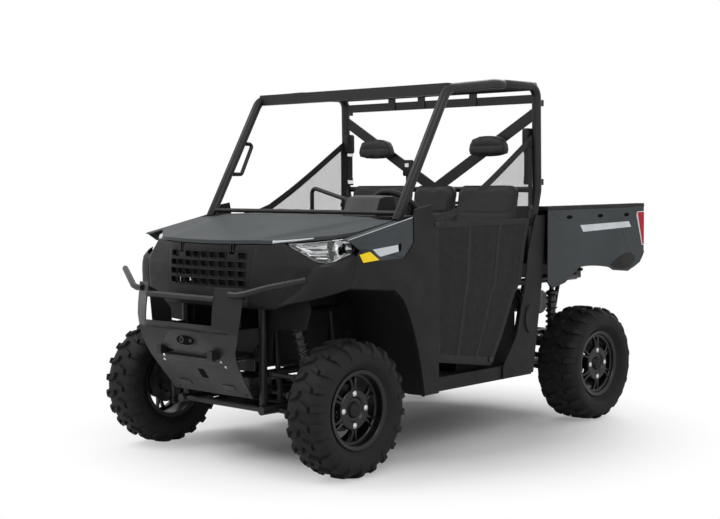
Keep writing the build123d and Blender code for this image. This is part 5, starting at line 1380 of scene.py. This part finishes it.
def make_dash():
    binnacle, glass, dark, shroud, fins = (Build() for _ in range(5))
    binnacle.skin([[(x, -640 - grow, 1222), (x, -604, 1310 + grow), (x, -560, 1321 + grow), (x, -500, 1318 + grow),
                    (x, -484, 1308 + grow), (x, -500, 1300), (x, -590, 1290), (x, -625, 1222)]
                   for x, grow in ((256, 0.0), (264, 3.0), (300, 5.0), (440, 5.0), (476, 3.0), (484, 0.0))])
    binnacle.turned((370, -486, 1262), (0, 1, 0.25), [(-6, 0), (-6, 46), (2, 48), (4, 44), (0, 42), (0, 0)], 32)
    glass.turned((370, -482, 1263), (0, 1, 0.25), [(0, 0), (0, 41), (1.5, 40), (1.5, 0)], 32)
    # vent slats on the leaning face of the dash
    for x0, x1 in VENTS:
        for z in range(1100, 1181, 16):
            dark.prism([(x0 + 6, z), (x1 - 6, z), (x1 - 6, z + 5), (x0 + 6, z + 5)],
                       lambda x, v, w: (x, w - (v - 1180) * 0.111, v), -416, -406)
    # the lighter grey paints the instrument hood's sheen from above
    binnacle.done("instrument_hood", grey_and_sheen_plastic, "black_plastic", bevel=0.002)
    glass.done("instrument_glass", clear_lens, "black_plastic")
    dark.done("dash_vents", rim_gloss, "black_plastic", bevel=0.0006)
    # plates and fins round the radiator
    for way in SIDES:
        shroud.prism([(way * 238, 560), (way * 262, 560), (way * 262, 1000), (way * 238, 1030)], facing, -1214, -1208)
        shroud.prism([(-1486, 890), (-1440, 868), (-1352, 772), (-1346, 706), (-1468, 702)], flank(way), 256, 261)
        shroud.prism([(264, 545), (322, 545), (334, 690), (560, 706), (590, 800), (560, 876), (264, 900)],
                     lambda x, z, w: (way * x, w, z), -1208, -1203)
        shroud.prism([(-1203, 500), (-1203, 1000), (-700, 1000), (-660, 640), (-660, 500)], flank(way), 258, 262)
    # radiator fins in near-black: painted shade behind the grille
    for z in range(548, 1017, 12):
        fins.prism([(-232, z), (232, z), (232, z + 3), (-232, z + 3)], facing, -1219, -1214.5)
    shroud.done("radiator_shroud", plastic, "black_plastic", bevel=0.001)
    fins.done("radiator_fins", painted_shade_black, "dark_steel")


make_dash()


# ---------------------------------------------------------------- floor, light and camera
FLOOR_REACH, FLOOR_Z = 14.0, -0.0005
WORLD_DIM, WORLD_SHOWN = 0.55, 1.0    # what lights the part, and what the camera and reflections see
LIGHT_AIM = Vector((0.0, 0.0, 0.9))
# name, place, size, power
LIGHTS = (("key", (-2.6, -4.2, 5.6), 3.0, 170.0), ("fill", (5.2, -2.4, 4.6), 3.5, 120.0),
          ("back", (-1.5, 5.0, 4.6), 3.5, 120.0))
CAMERA_PLACE = Vector((4.938, -5.561, 1.413))
CAMERA_YAW, CAMERA_PITCH, CAMERA_ROLL = radians(42.814), radians(-3.51), -0.0066
CAMERA_LENS, CAMERA_SENSOR = 66.22, 36.0


def studio():
    mesh = bpy.data.meshes.new("studio_floor")
    mesh.from_pydata([(x * FLOOR_REACH, y * FLOOR_REACH, FLOOR_Z) for x, y in ((-1, -1), (1, -1), (1, 1), (-1, 1))],
                     [], [(0, 1, 2, 3)])
    floor = new_object("studio_floor", mesh)
    floor.data.materials.append(floor_finish)
    scene.world = bpy.data.worlds.new("studio")
    scene.world.use_nodes = True
    world = Nodes(scene.world.node_tree)
    ray = world.node("LightPath", {}).outputs
    shown = world.math("MAXIMUM", ray["Is Camera Ray"], ray["Is Glossy Ray"])
    shown = world.math("MAXIMUM", shown, ray["Is Transmission Ray"])
    back = world.nodes["Background"].inputs
    world.put(back["Strength"], world.spread(shown, WORLD_DIM, WORLD_SHOWN, 0.0, 1.0))
    back["Color"].default_value = (1.0, 1.0, 1.0, 1.0)
    for name, place, size, power in LIGHTS:
        light = bpy.data.lights.new(name, "AREA")
        light.size = size
        light.energy = power
        obj = new_object(name, light)
        obj.location = place
        obj.rotation_euler = (LIGHT_AIM - Vector(place)).to_track_quat("-Z", "Y").to_euler()


def place_camera():
    ahead = Vector((-sin(CAMERA_YAW) * cos(CAMERA_PITCH), cos(CAMERA_YAW) * cos(CAMERA_PITCH), sin(CAMERA_PITCH)))
    right = Vector((cos(CAMERA_YAW), sin(CAMERA_YAW), 0.0))
    turned = cos(CAMERA_ROLL) * right + sin(CAMERA_ROLL) * right.cross(ahead)
    data = bpy.data.cameras.new("camera")
    data.lens = CAMERA_LENS
    data.sensor_width = CAMERA_SENSOR
    data.sensor_fit = "HORIZONTAL"
    camera = new_object("camera", data)
    axes = Matrix((turned, turned.cross(ahead), -ahead)).transposed()
    camera.matrix_world = Matrix.Translation(CAMERA_PLACE) @ axes.to_4x4()
    scene.camera = camera


studio()
place_camera()
scene.view_settings.view_transform = "Standard"
